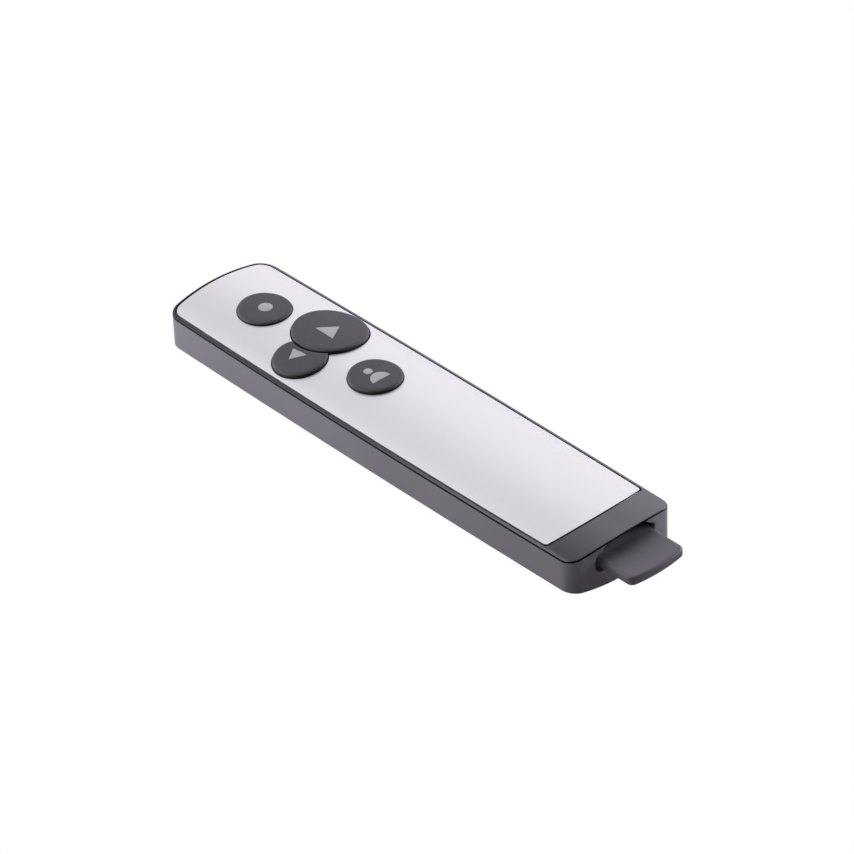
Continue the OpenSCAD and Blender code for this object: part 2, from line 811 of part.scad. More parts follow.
// Door in the belly: it follows the belly's curve, and tips open about its tabs.
module battery_door() {
    latch_w = 8;
    latch_l = 9;
    slit = 0.5;
    color([0.42, 0.41, 0.43]) difference() {
        union() {
            difference() {
                intersection() {
                    linear_extrude(deep) door_plan();
                    over_belly(door_skin);
                    box(-half_w, half_w, -half_l, half_l, door_skin, deep);
                }
                over_belly(door_t + door_skin);
            }
            // Tabs that reach over the case's floor
            both_sides() {
                box(6, 10, bay_y_hi + 0.4, door_y_hi, door_t, 2.5);
                box(6, 10, door_y_hi - 0.1, door_y_hi + 1.2, 1.75, 2.5);
            }
            // Block behind the latch's edge
            box(-3, 3, door_y_lo, door_y_lo + 0.6, 0.9 * door_t, 2.1);
        }
        // Slits that free the latch
        both_sides() box(latch_w / 2, latch_w / 2 + slit, door_y_lo - over, door_y_lo + latch_l, -over, 3);
        // Thumb grooves on the latch
        for (i = [0:3]) translate([0, door_y_lo + 2.2 + 1.6 * i, -0.25]) rotate([0, 90, 0])
            cylinder(r = 0.65, h = latch_w - 2, center = true);
    }
}

// ------------------------------------------------------------------- receiver

// Tray that guides the receiver, screwed to the case by four ears.
module receiver_dock() {
    inner = tray_half;
    leaf_y = [-66, -57];
    color([0.2, 0.2, 0.21]) difference() {
        union() {
            intersection() {
                box(-inner - tray_t, inner + tray_t, tray_y_lo, tray_y_hi, mouth_z - tray_t, deep);
                under_crown(deck_drop + fit);
            }
            both_sides() for (y = ear_ys)
                box(inner, ear_x + post_r, y - post_r, y + post_r, ear_z, ear_z + tray_t);
            for (y = [tray_y_lo + 1, tray_y_hi - 3]) intersection() {
                box(-5, 5, y, y + 2, floor_t, mouth_z);
                over_belly(floor_t + running);
            }
        }
        box(-inner, inner, tray_y_lo - over, tray_y_hi + over, mouth_z, deep);
        both_sides() {
            box(inner - over, deep, leaf_y[0], leaf_y[1], receiver_z - 1.6, receiver_z + 1.6);
            for (y = ear_ys) translate([ear_x, y, 0]) cylinder(r = screw_r + fit, h = deep);
        }
    }
}

// Two bowed leaves in the tray's windows, which press on the cap's sides.
module dock_springs() {
    leaf_t = 0.25;
    leaf_half = 4.3;
    bow = 1.1;
    leaf_y = -61.5;
    r = sagitta_radius(leaf_half, bow);
    tip = cap_w / 2 + fit;
    color([0.8, 0.8, 0.82]) both_sides()
        translate([0, leaf_y, receiver_z - 1.4]) linear_extrude(2.8)
            intersection() {
                translate([tip + r, 0]) difference() {
                    circle(r);
                    circle(r - leaf_t);
                }
                translate([tip - over, -leaf_half]) square([over + bow + leaf_t, 2 * leaf_half]);
            }
}

// A round slab with a rounded rim, in the middle of the cap's height.
module round_puck(x, y, r, h) {
    e = cap_edge_r;
    translate([x, y, receiver_z - h / 2]) rotate_extrude($fn = 32) {
        translate([0, e]) square([r, h - 2 * e]);
        square([r - e, h]);
        for (z = [e, h - e]) intersection() {
            translate([r - e, z]) circle(e, $fn = 20);
            square([r, h]);
        }
    }
}

// The cap's outer form: a flat part with a bowed end, and a narrower root that rises to the plug's height.
module cap_form() {
    r = cap_corner_r;
    half = cap_w / 2 - r;
    y1 = receiver_y + tongue_l;
    root = cap_w / 2 - root_step - 1;
    hull() {
        for (k = [-3:3])
            round_puck(half * k / 3, receiver_y + r + nose_bow * k * k / 9, r, cap_h_out);
        both_sides() round_puck(cap_w / 2 - 1, y1 - 1, 1, cap_h_out);
    }
    hull() both_sides() {
        round_puck(root, y1 - 3, 1, cap_h_out - 2 * root_step);
        round_puck(root, y1 - 1.2, 1, cap_h_out - 2 * root_step);
        round_puck(root, y1 + slope_l, 1, cap_h_in);
        round_puck(root, cap_y_in - 1, 1, cap_h_in);
    }
}

// Room inside the cap for the board, and the hole that the plug comes out of.
module cap_room() {
    t = cap_shell_t;
    y0 = receiver_y + 2.6;
    y1 = receiver_y + tongue_l;
    y2 = y1 + slope_l;
    y3 = cap_y_in - 1.2;
    h0 = cap_h_out / 2 - t;
    h1 = cap_h_in / 2 - t;
    half = cap_w / 2 - root_step - t;
    translate([-half, 0, receiver_z]) rotate([90, 0, 90]) linear_extrude(2 * half)
        polygon([[y0, -h0], [y1, -h0], [y2, -h1], [y3, -h1], [y3, h1], [y2, h1], [y1, h0], [y0, h0]]);
    plug_block(plug_w + fit, plug_h + fit, cap_y_in - 3, cap_y_in + over);
}

module plug_block(w, h, y0, y1, r = 0.6)
    translate([0, y1, receiver_z]) rotate([90, 0, 0]) linear_extrude(y1 - y0) rounded_rect(w, h, r);

module receiver_top() {
    color([0.35, 0.34, 0.36]) difference() {
        intersection() {
            cap_form();
            box(-cap_w, cap_w, receiver_y - over, cap_y_in + over, parting_z, deep);
        }
        cap_room();
    }
}

module receiver_bottom() {
    color([0.35, 0.34, 0.36]) difference() {
        intersection() {
            cap_form();
            box(-cap_w, cap_w, receiver_y - over, cap_y_in + over, 0, parting_z);
        }
        cap_room();
    }
}

module usb_shell() {
    color([0.8, 0.8, 0.8]) difference() {
        plug_block(plug_w, plug_h, cap_y_in - plug_root, plug_tip_y);
        plug_block(plug_w - 2 * plug_t, plug_h - 2 * plug_t, cap_y_in - plug_root - over, plug_tip_y + over, 0.3);
        for (s = [-1, 1]) translate([s * 3.2 - 1.15, plug_tip_y - 8.2, receiver_z - plug_h])
            cube([2.3, 2.5, 2 * plug_h]);
    }
}

module usb_tongue() {
    z0 = receiver_z - plug_h / 2 + plug_t + running;
    half = plug_w / 2 - plug_t - 0.25;
    color([0.92, 0.92, 0.92]) box(-half, half, cap_y_in - plug_root, plug_tip_y - 0.4, z0, z0 + 1.85);
}

module usb_contacts() {
    z0 = receiver_z - plug_h / 2 + plug_t + running + 1.85;
    color([0.85, 0.7, 0.35])
        for (x = [-3.5, -1, 1, 3.5])
            box(x - 0.5, x + 0.5, cap_y_in - plug_root, plug_tip_y - (abs(x) > 2 ? 1.2 : 2.2), z0, z0 + 0.15);
}

module receiver_board() {
    color([0.1, 0.35, 0.2])
        box(-6.9, 6.9, receiver_y + tongue_l + 0.9, cap_y_in - plug_root - fit, receiver_z - 0.55, receiver_z + 0.25);
}

module receiver_chip() {
    z = receiver_z + 0.25;
    y = receiver_y + tongue_l + 2.3;
    color([0.08, 0.08, 0.09]) box(-4.5, 0.5, y, y + 3.6, z, z + 0.8);
}

module receiver_crystal() {
    z = receiver_z + 0.25;
    y = receiver_y + tongue_l + 2.5;
    color([0.8, 0.8, 0.8]) box(2.4, 5.6, y, y + 2.5, z, z + 0.8);
}

module placed() translate([0, frame_shift, 0]) children();

placed() bottom_case();
placed() top_frame();
placed() face_plate();
placed() battery_door();
placed() laser_button();
placed() forward_button();
placed() back_button();
placed() blank_button();
placed() laser_plunger();
placed() forward_plunger();
placed() back_plunger();
placed() blank_plunger();
placed() laser_switch();
placed() forward_switch();
placed() back_switch();
placed() blank_switch();
placed() main_board();
placed() controller_chip();
placed() radio_chip();
placed() crystal_can();
placed() board_capacitors();
placed() chip_antenna();
placed() laser_barrel();
placed() laser_diode();
placed() laser_lens();
placed() laser_window();
placed() cell_left();
placed() cell_right();
placed() battery_springs();
placed() positive_plate();
placed() negative_plate();
placed() bridge_plate();
placed() receiver_dock();
placed() dock_springs();
placed() fixing_screws();
placed() receiver_top();
placed() receiver_bottom();
placed() usb_shell();
placed() usb_tongue();
placed() usb_contacts();
placed() receiver_board();
placed() receiver_chip();
placed() receiver_crystal();
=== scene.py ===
import math

import bmesh
import bpy
import numpy as np
from mathutils import Matrix


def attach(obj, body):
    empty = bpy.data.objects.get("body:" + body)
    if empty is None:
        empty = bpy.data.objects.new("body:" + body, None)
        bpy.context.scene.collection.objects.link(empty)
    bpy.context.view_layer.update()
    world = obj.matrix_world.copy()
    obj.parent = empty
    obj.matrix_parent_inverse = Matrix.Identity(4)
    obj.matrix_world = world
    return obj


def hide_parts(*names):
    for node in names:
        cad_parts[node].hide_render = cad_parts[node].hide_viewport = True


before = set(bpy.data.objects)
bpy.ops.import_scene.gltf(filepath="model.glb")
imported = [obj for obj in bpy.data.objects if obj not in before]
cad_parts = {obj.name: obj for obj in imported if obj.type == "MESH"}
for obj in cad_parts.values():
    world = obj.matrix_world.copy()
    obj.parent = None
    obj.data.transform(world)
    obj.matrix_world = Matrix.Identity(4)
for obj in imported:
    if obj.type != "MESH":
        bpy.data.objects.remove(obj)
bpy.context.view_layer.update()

# ------------------------------------------------------------------ camera, floor and light
# The clicker lies on a white table under broad studio panels, seen from above its receiver end. The table
# looks pure white to the camera, and reflects as grey paper.

MM = 0.001

view_camera = bpy.data.cameras.new("camera")
VIEW_LENS, SENSOR, VIEW_REACH = 189.683, 36.0, 20.0
VIEW_PLACE, VIEW_TURN = (-0.607132, -0.691073, 0.674479), (54.03403, 1.7375, -42.5419)
view_camera.lens, view_camera.sensor_width, view_camera.clip_end = VIEW_LENS, SENSOR, VIEW_REACH
camera = bpy.data.objects.new("camera", view_camera)
bpy.context.scene.collection.objects.link(camera)
camera.location = VIEW_PLACE
camera.rotation_euler = [math.radians(a) for a in VIEW_TURN]
bpy.context.scene.camera = camera
bpy.context.scene.view_settings.view_transform = "Standard"


def node_tree(name):
    """A new material with its node tree, its surface shader, and a function that adds a node to the tree."""
    material = bpy.data.materials.new(name)
    material.use_nodes = True
    tree = material.node_tree

    def add(kind, values=None, **settings):
        """A node of this kind: a socket among the values is joined to its input, any other value is set."""
        node = tree.nodes.new(kind)
        for key, value in settings.items():
            setattr(node, key, value)
        for key, value in (values or {}).items():
            if isinstance(value, bpy.types.NodeSocket):
                tree.links.new(value, node.inputs[key])
            else:
                node.inputs[key].default_value = value
        return node

    return material, tree, tree.nodes["Principled BSDF"], add


floor_mesh = bpy.data.meshes.new("floor")
FLOOR_HALF, FLOOR_SUNK, FLOOR_GREY = 6.0, 0.00002, 0.6
floor_mesh.from_pydata([(x * FLOOR_HALF, y * FLOOR_HALF, 0) for x, y in ((-1, -1), (1, -1), (1, 1), (-1, 1))],
                       [], [(0, 1, 2, 3)])
floor = bpy.data.objects.new("floor", floor_mesh)
floor.location.z = -FLOOR_SUNK
bpy.context.scene.collection.objects.link(floor)
floor_paint, floor_tree, floor_shader, add_node = node_tree("floor_paper")
floor_shader.inputs["Base Color"].default_value = (FLOOR_GREY, FLOOR_GREY, FLOOR_GREY, 1)
floor_shader.inputs["Roughness"].default_value = 0.9
floor_shader.inputs["Specular IOR Level"].default_value = 0.0
paper_white = add_node("ShaderNodeEmission", {"Strength": 1.0})
seen_straight = add_node("ShaderNodeLightPath").outputs["Is Camera Ray"]
bleached = add_node("ShaderNodeMixShader", {0: seen_straight, 1: floor_shader.outputs[0],
                                            2: paper_white.outputs[0]})
floor_tree.links.new(bleached.outputs[0], floor_tree.nodes["Material Output"].inputs["Surface"])
floor_mesh.materials.append(floor_paint)

room = bpy.data.worlds.new("studio")
bpy.context.scene.world = room
room.use_nodes = True
sky = room.node_tree
looking = sky.nodes.new("ShaderNodeTexCoord").outputs["Generated"]
brightness = None
STUDIO_TINT = (1.0, 0.975, 1.035)
SKY_GLOWS = (((0.77, 0.6, 0.17), 14.0, 0.76), ((0.53, 0.6, 0.59), 10.0, 0.88), ((0.15, 0.6, 0.8), 10.0, 0.03))
for towards, spread, strength in SKY_GLOWS:
    # a soft backdrop glow: strength * exp(spread * (cosine - 1)) round one direction, and the glows add up
    cosine = sky.nodes.new("ShaderNodeVectorMath")
    cosine.operation = "DOT_PRODUCT"
    sky.links.new(looking, cosine.inputs[0])
    cosine.inputs[1].default_value = np.array(towards) / np.linalg.norm(towards)
    falloff = sky.nodes.new("ShaderNodeMath")
    falloff.operation = "MULTIPLY_ADD"
    sky.links.new(cosine.outputs["Value"], falloff.inputs[0])
    falloff.inputs[1].default_value, falloff.inputs[2].default_value = spread, -spread
    lobe = sky.nodes.new("ShaderNodeMath")
    lobe.operation = "EXPONENT"
    sky.links.new(falloff.outputs[0], lobe.inputs[0])
    total = sky.nodes.new("ShaderNodeMath")
    total.operation = "MULTIPLY_ADD"
    sky.links.new(lobe.outputs[0], total.inputs[0])
    total.inputs[1].default_value, total.inputs[2].default_value = strength, 0.0
    if brightness is not None:
        sky.links.new(brightness, total.inputs[2])
    brightness = total.outputs[0]
sky.links.new(brightness, sky.nodes["Background"].inputs["Strength"])
sky.nodes["Background"].inputs["Color"].default_value = (*STUDIO_TINT, 1)


def panel(name, place, width, height, radiance):
    """A soft box at place that faces the object, with the same radiance all over:
    power = radiance * area * pi."""
    lamp = bpy.data.lights.new(name, "AREA")
    lamp.shape = "RECTANGLE"
    lamp.size, lamp.size_y = width, height
    lamp.energy = radiance * width * height * math.pi
    lamp.color = STUDIO_TINT
    box = bpy.data.objects.new(name, lamp)
    bpy.context.scene.collection.objects.link(box)
    away = np.array(place, float) / np.linalg.norm(place)
    side = np.cross((0, 0, 1), away)
    side /= np.linalg.norm(side)
    turn = np.eye(4)
    turn[:3, 0], turn[:3, 1], turn[:3, 2], turn[:3, 3] = side, np.cross(away, side), away, place
    box.matrix_world = Matrix(turn.tolist())


panel("left_high_panel", (-0.34, 0.42, 0.56), 0.9, 0.7, 1.3)
panel("left_far_panel", (-0.48, 0.6, 0.2), 0.8, 0.6, 2.35)
panel("near_left_panel", (-0.15, 0.25, 0.08), 0.2, 0.15, 1.75)
panel("near_plate_panel", (0.07, 0.08, 0.19), 0.12, 0.12, 0.14)
panel("right_front_panel", (0.8, -0.2, 0.18), 0.8, 0.45, 6.7)
panel("right_low_panel", (0.76, -0.24, 0.09), 0.4, 0.16, 0.7)

# ------------------------------------------------------------------ bottom case
# A tub of satin dark grey ABS, moulded in one piece: side walls, end walls and a round belly. The receiver's
# end wall has a slot with a finger recess round it, and the belly has the opening for the battery door.

BODY_HALF, BODY_END = 18.0, 77.25
BODY_TOP, CROWN, BELLY_RISE, BELLY_FLAT = 13.05, 2.45, 1.6, 0.12
SIDE_BOW, RECEIVER_END_BOW, LASER_END_BOW = 0.7, 1.9, 1.0
RECEIVER_CORNER, LASER_CORNER = 4.2, 4.7
CROWN_RADIUS = (BODY_HALF ** 2 + CROWN ** 2) / (2 * CROWN)
BELLY_RADIUS = (BODY_HALF ** 2 + (BELLY_RISE + BELLY_FLAT) ** 2) / (2 * (BELLY_RISE + BELLY_FLAT))
SIDE_CENTRE = BODY_HALF - (BODY_END ** 2 + SIDE_BOW ** 2) / (2 * SIDE_BOW)
STRAIGHT = -1.0e5
ALONG = 5.8
LAP, WALL, FLOOR, RECEIVER_WALL, FRAME_EDGE = 0.8, 1.6, 1.2, 3.0, 0.45


def crown_z(x, drop=0.0):
    """Height of the crowned top at x, less drop: a circle of radius CROWN_RADIUS about an axis along Y."""
    return BODY_TOP - CROWN_RADIUS + np.sqrt((CROWN_RADIUS - drop) ** 2 - np.square(x))


def belly_z(x, rise=0.0):
    """Height of the round belly at x, plus rise, cut flat where it would fall below the table."""
    low = BELLY_RADIUS - BELLY_FLAT - np.sqrt((BELLY_RADIUS - rise) ** 2 - np.square(x))
    return np.maximum(low, 0.0)


def on_crown(drop):
    """The surface that lies drop under the crowned top, as a function of x."""
    return lambda x: crown_z(x, drop)


def on_belly(rise):
    """The surface that lies rise above the round belly, as a function of x."""
    return lambda x: belly_z(x, rise)


def arc_points(centre, radius, start, stop, count):
    """count points on a circle from angle start to angle stop, without the last one."""
    angle = np.linspace(start, stop, count, endpoint=False)
    return np.column_stack([centre[0] + radius * np.cos(angle), centre[1] + radius * np.sin(angle)])


def bar_outline(half, y_low, y_high, low_bow, high_bow, low_corner, high_corner, inset=0.0,
                side_centre=SIDE_CENTRE):
    """Outline of a bar, anticlockwise from the middle of its low end: a bowed end, a round corner, a bowed
    side, a round corner and a bowed end, each an arc, then the same mirrored. inset moves every arc inwards
    along its normal, with the same number of points, so that outlines of different insets join into a
    surface."""
    side_r = half - side_centre - inset
    low_r = (half ** 2 + low_bow ** 2) / (2 * low_bow) - inset
    high_r = (half ** 2 + high_bow ** 2) / (2 * high_bow) - inset
    low_k, high_k = max(low_corner - inset, 0.15), max(high_corner - inset, 0.15)
    side_c = np.array([side_centre, 0.0])
    low_c, high_c = np.array([0, y_low + inset + low_r]), np.array([0, y_high - inset - high_r])

    def crossing(c0, r0, c1, r1, up):
        """Where two circles meet: the upper of the two points if up is 1, the lower one if it is -1."""
        gap = np.linalg.norm(c1 - c0)
        e = (c1 - c0) / gap
        a = (gap ** 2 + r0 ** 2 - r1 ** 2) / (2 * gap)
        b = math.sqrt(max(r0 ** 2 - a ** 2, 0.0))
        both = [c0 + e * a + s * b * np.array([-e[1], e[0]]) for s in (1, -1)]
        return max(both, key=lambda p: p[1] * up)

    def angle(v):
        """Angle of a vector from the X axis."""
        return math.atan2(v[1], v[0])

    low_f = crossing(side_c, side_r - low_k, low_c, low_r - low_k, -1)
    high_f = crossing(side_c, side_r - high_k, high_c, high_r - high_k, 1)
    right = np.vstack([
        arc_points(low_c, low_r, -math.pi / 2, angle(low_f - low_c), 18),
        arc_points(low_f, low_k, angle(low_f - low_c), angle(low_f - side_c), 14),
        arc_points(side_c, side_r, angle(low_f - side_c), angle(high_f - side_c), 70),
        arc_points(high_f, high_k, angle(high_f - side_c), angle(high_f - high_c), 14),
        arc_points(high_c, high_r, angle(high_f - high_c), math.pi / 2, 18),
        [[0.0, y_high - inset]]])
    return np.vstack([right, right[-2:0:-1] * (-1, 1)])


def body_outline(inset=0.0):
    """Outline of the whole body at an inset: bowed sides and ends, with tighter corners at the receiver."""
    return bar_outline(BODY_HALF, -BODY_END, BODY_END, RECEIVER_END_BOW, LASER_END_BOW, RECEIVER_CORNER,
                       LASER_CORNER, inset)


def ring(outline, height):
    """An outline lifted to height, which may be a number or a function of x."""
    x, y = outline[:, 0], outline[:, 1]
    return np.column_stack([x, y, height(x) if callable(height) else np.full(len(x), float(height))])


def between(first, last, count, height=None):
    """count rings in even steps from one ring to another, without those two, at their own height or on a
    surface."""
    steps = np.linspace(0, 1, count + 2)[1:-1]
    rings = [first + t * (last - first) for t in steps]
    if height is not None:
        for r in rings:
            r[:, 2] = height(r[:, 0])
    return rings


def rounded_edge(outline_at, radius, height, steps):
    """Rings that turn a wall into a top: the point moves on a quarter circle, from the wall at depth radius
    to the top at inset radius."""
    return [ring(outline_at(radius * (1 - math.cos(a))), lambda x, a=a: height(x, radius * (1 - math.sin(a))))
            for a in np.linspace(0, math.pi / 2, steps)]


def tube_mesh(rings, closed=False, caps=(False, False)):
    """Points and faces of a surface through rings of equal count. closed joins the last ring to the first,
    and caps puts a face on the first ring, on the last ring or on both."""
    grid = np.array(rings)
    rows, cols = grid.shape[:2]
    i = np.arange(rows if closed else rows - 1)[:, None]
    j = np.arange(cols)[None, :]
    below, above = i * cols, (i + 1) % rows * cols
    right = (j + 1) % cols
    quads = np.stack([below + j, below + right, above + right, above + j], axis=-1).reshape(-1, 4).tolist()
    if caps[0]:
        quads.append(list(range(cols))[::-1])
    if caps[1]:
        quads.append(list(range((rows - 1) * cols, rows * cols)))
    return grid.reshape(-1, 3), quads


def join_meshes(parts):
    """Points and faces of several meshes as one: the faces of each count on from the points before it."""
    points, faces, start = [], [], 0
    for p, f in parts:
        points.append(p)
        faces.extend([[k + start for k in face] for face in f])
        start += len(p)
    return np.vstack(points), faces


def make_piece(name, parts, material, body, sharp=38.0, replaced=()):
    """A piece from one or more closed surfaces in millimetres, about the body's middle. Each surface is
    turned to face outwards, and edges sharper than the angle sharp stay sharp."""
    points, faces = join_meshes(parts)
    points = (points + (0, ALONG, 0)) * MM
    mesh = bpy.data.meshes.new(name)
    mesh.from_pydata(points.tolist(), [], faces)
    mesh.validate()
    work = bmesh.new()
    work.from_mesh(mesh)
    bmesh.ops.remove_doubles(work, verts=work.verts, dist=1e-7)
    bmesh.ops.recalc_face_normals(work, faces=work.faces)
    work.to_mesh(mesh)
    work.free()
    mesh.shade_smooth()
    mesh.set_sharp_from_angle(angle=math.radians(sharp))
    mesh.materials.append(material)
    piece = bpy.data.objects.new(name, mesh)
    bpy.context.scene.collection.objects.link(piece)
    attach(piece, body)
    if replaced:
        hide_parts(*replaced)
    return piece


def carve(piece, parts, sharp=38.0):
    """Takes closed surfaces out of a piece, and keeps the result as the piece's own mesh."""
    points, faces = join_meshes(parts)
    tool_mesh = bpy.data.meshes.new("tool")
    tool_mesh.from_pydata(((points + (0, ALONG, 0)) * MM).tolist(), [], faces)
    work = bmesh.new()
    work.from_mesh(tool_mesh)
    bmesh.ops.recalc_face_normals(work, faces=work.faces)
    work.to_mesh(tool_mesh)
    work.free()
    tool = bpy.data.objects.new("tool", tool_mesh)
    bpy.context.scene.collection.objects.link(tool)
    cut = piece.modifiers.new("cut", "BOOLEAN")
    cut.operation, cut.solver, cut.object = "DIFFERENCE", "EXACT", tool
    bpy.context.view_layer.update()
    seen = piece.evaluated_get(bpy.context.evaluated_depsgraph_get())
    carved = bpy.data.meshes.new_from_object(seen)
    piece.modifiers.remove(cut)
    old, piece.data = piece.data, carved
    bpy.data.objects.remove(tool)
    bpy.data.meshes.remove(tool_mesh)
    bpy.data.meshes.remove(old)
    carved.shade_smooth()
    carved.set_sharp_from_angle(angle=math.radians(sharp))


def prism(outline, low, high):
    """A closed upright block: a cap, walls and a cap. low and high are numbers or functions of x."""
    return tube_mesh([ring(outline, low), ring(outline, high)], caps=(True, True))


def box_outline(x0, x1, y0, y1, step=1.5):
    """A rectangle whose sides along X are cut into steps, so that a block can follow the crown."""
    x = np.linspace(x0, x1, max(2, int(abs(x1 - x0) / step) + 1))
    low = np.column_stack([x, np.full(len(x), y0)])
    high = np.column_stack([x[::-1], np.full(len(x), y1)])
    return np.vstack([low, high])


def round_outline(x, y, radius, count=40):
    """A circle of count points, anticlockwise from its side at +X."""
    return arc_points((x, y), radius, 0, 2 * math.pi, count)


def satin_plastic(name, colour, roughness, grain=0.6, scale=2600.0, coat=0.0):
    """Moulded plastic: a spark-eroded grain as bump, and a slow drift in its colour and its gloss."""
    material, tree, shader, add = node_tree(name)
    place = add("ShaderNodeTexCoord").outputs["Object"]
    fine = add("ShaderNodeTexNoise", {"Vector": place, "Scale": scale, "Detail": 3.0, "Roughness": 0.6})
    slow = add("ShaderNodeTexNoise", {"Vector": place, "Scale": 38.0, "Detail": 3.0})
    tone = add("ShaderNodeMapRange", {"Value": slow.outputs["Fac"], "From Min": 0.3, "From Max": 0.7,
                                      "To Min": 0.94, "To Max": 1.06})
    shade = add("ShaderNodeMix", {"Factor": 1.0, "A": (*colour, 1)}, data_type="RGBA", blend_type="MULTIPLY")
    tree.links.new(tone.outputs["Result"], shade.inputs["B"])
    gloss = add("ShaderNodeMapRange", {"Value": fine.outputs["Fac"], "From Min": 0.3, "From Max": 0.7,
                                       "To Min": roughness - 0.05, "To Max": roughness + 0.05})
    bump = add("ShaderNodeBump", {"Height": fine.outputs["Fac"], "Strength": grain, "Distance": 0.00003})
    tree.links.new([s for s in shade.outputs if s.type == "RGBA"][0], shader.inputs["Base Color"])
    tree.links.new(gloss.outputs["Result"], shader.inputs["Roughness"])
    tree.links.new(bump.outputs["Normal"], shader.inputs["Normal"])
    shader.inputs["Coat Weight"].default_value = coat
    shader.inputs["Coat Roughness"].default_value = 0.08
    return material


case_finish = satin_plastic("case_satin", (0.275, 0.262, 0.292), 0.42)

DOOR_HALF, DOOR_LOW, DOOR_HIGH, DOOR_CORNER, DOOR_GAP = 12.4, -45.3, 5.6, 2.0, 0.15
BAY_HALF, BAY_LOW, BAY_HIGH, RIB = 10.8, -43.6, 4.2, 1.0
NO_BOW, INNER_CORNER, CASE_EDGE, DOOR_BEVEL, LAP_DROP = 0.01, 2.6, 0.3, 0.12, 1.1


def door_outline(inset=0.0):
    """Outline of the battery door at an inset: straight sides and ends with round corners."""
    return bar_outline(DOOR_HALF, DOOR_LOW, DOOR_HIGH, NO_BOW, NO_BOW, DOOR_CORNER, DOOR_CORNER, inset,
                       STRAIGHT)


def inner_outline():
    """Inside of the tub's walls, whose receiver end is straight."""
    return bar_outline(BODY_HALF - WALL, -BODY_END + RECEIVER_WALL, BODY_END - WALL, NO_BOW, LASER_END_BOW,
                       INNER_CORNER, LASER_CORNER - WALL)


def case_wall(share):
    """A ring on the tub's outer wall, at a share of the way from its rounded foot up to the frame."""
    return ring(body_outline(), lambda x: belly_z(x) + CASE_EDGE
                + share * (crown_z(x, FRAME_EDGE) - belly_z(x) - CASE_EDGE))


door_edge = ring(door_outline(-DOOR_GAP), on_belly(FLOOR))
belly_rim = ring(door_outline(-DOOR_GAP - DOOR_BEVEL), belly_z)
wall_foot = ring(body_outline(CASE_EDGE), belly_z)
floor_rim = ring(inner_outline(), on_belly(FLOOR))
case_rings = [door_edge, ring(door_outline(-DOOR_GAP), lambda x: belly_z(x) + DOOR_BEVEL), belly_rim]
case_rings += between(belly_rim, wall_foot, 12, belly_z)
case_rings += [ring(body_outline(CASE_EDGE * (1 - math.sin(a))),
                    lambda x, a=a: belly_z(x) + CASE_EDGE * (1 - math.cos(a)))
               for a in np.linspace(0, math.pi / 2, 6)]
case_rings += [case_wall(t) for t in np.linspace(0.1, 1.0, 9)]
case_rings += [ring(body_outline(LAP), on_crown(FRAME_EDGE)), ring(body_outline(LAP), on_crown(LAP_DROP)),
               ring(inner_outline(), on_crown(LAP_DROP))]
case_rings += between(case_rings[-1], floor_rim, 3)
case_rings += [floor_rim]
case_rings += between(floor_rim, door_edge, 8, on_belly(FLOOR))

BOARD_LOW, BOARD_HIGH, BOARD_UNDER, DOCK_UNDER = 6.4, 61.3, 5.2, 5.6
RIB_FOOT, RIB_HEAD, RIB_REACH, POST, POST_FOOT = 1.15, 1.6, 17.0, 1.9, 0.6
BOARD_POST_X, BOARD_POST_IN, DOCK_POST_X = 12.6, 3.6, 12.4
RIB_PLACES, DOCK_POST_PLACES = (-36, -20, -4), (-67, -51)
case_parts = [tube_mesh(case_rings, closed=True)]
for side in (-1, 1):
    x0, x1 = sorted((side * BAY_HALF, side * (BAY_HALF + RIB)))
    case_parts.append(prism(box_outline(x0, x1, BAY_LOW - RIB, BAY_HIGH + RIB), on_belly(RIB_FOOT),
                            on_crown(RIB_HEAD)))
    x0, x1 = sorted((side * BAY_HALF, side * RIB_REACH))
    case_parts += [prism(box_outline(x0, x1, y, y + RIB), on_belly(RIB_FOOT), BOARD_UNDER)
                   for y in RIB_PLACES]
    case_parts += [prism(round_outline(side * BOARD_POST_X, y, POST), on_belly(POST_FOOT), BOARD_UNDER)
                   for y in (BOARD_LOW + BOARD_POST_IN, BOARD_HIGH - BOARD_POST_IN)]
    case_parts += [prism(round_outline(side * DOCK_POST_X, y, POST), on_belly(POST_FOOT), DOCK_UNDER)
                   for y in DOCK_POST_PLACES]
for y in (BAY_LOW - RIB, BAY_HIGH):
    case_parts.append(prism(box_outline(-RIB_REACH, RIB_REACH, y, y + RIB), on_belly(RIB_FOOT),
                            on_crown(RIB_HEAD)))

bottom_case = make_piece("bottom_case_moulding", case_parts[:1], case_finish, "housing",
                         replaced=["bottom_case"])

RECEIVER_Z, MOUTH_W, MOUTH_H, MOUTH_CORNER = 7.85, 20.0, 5.9, 1.8
SCOOP_FOOT_W, SCOOP_TOP_W, SCOOP_DEPTH, SCOOP_MEET, SCOOP_BEND = 16.5, 11.8, 2.0, 0.1, 0.3


def polygon_outline(corners, radius, steps=6, pitch=0.6):
    """A polygon with rounded corners and finely cut sides: each corner becomes an arc that touches both of
    its sides. radius is one number or one for each corner."""
    corners = np.array(corners, float)
    radii = np.broadcast_to(radius, len(corners))
    points = []
    for k in range(len(corners)):
        before, here, after = corners[k - 1], corners[k], corners[(k + 1) % len(corners)]
        a, b = before - here, after - here
        a, b = a / np.linalg.norm(a), b / np.linalg.norm(b)
        half = math.acos(np.clip(a @ b, -1, 1)) / 2
        start, stop = here + a * radii[k] / math.tan(half), here + b * radii[k] / math.tan(half)
        centre = here + (a + b) / np.linalg.norm(a + b) * radii[k] / math.sin(half)
        s, e = start - centre, stop - centre
        turn = math.atan2(s[0] * e[1] - s[1] * e[0], s @ e)
        first = math.atan2(s[1], s[0])
        points += [centre + radii[k] * np.array([math.cos(first + t), math.sin(first + t)])
                   for t in np.linspace(0, turn, steps)]
    points = np.array(points)
    fine = []
    for p, q in zip(points, np.roll(points, -1, axis=0)):
        cuts = max(1, int(np.linalg.norm(q - p) / pitch))
        fine += [p + (q - p) * t / cuts for t in range(cuts)]
    return np.array(fine)


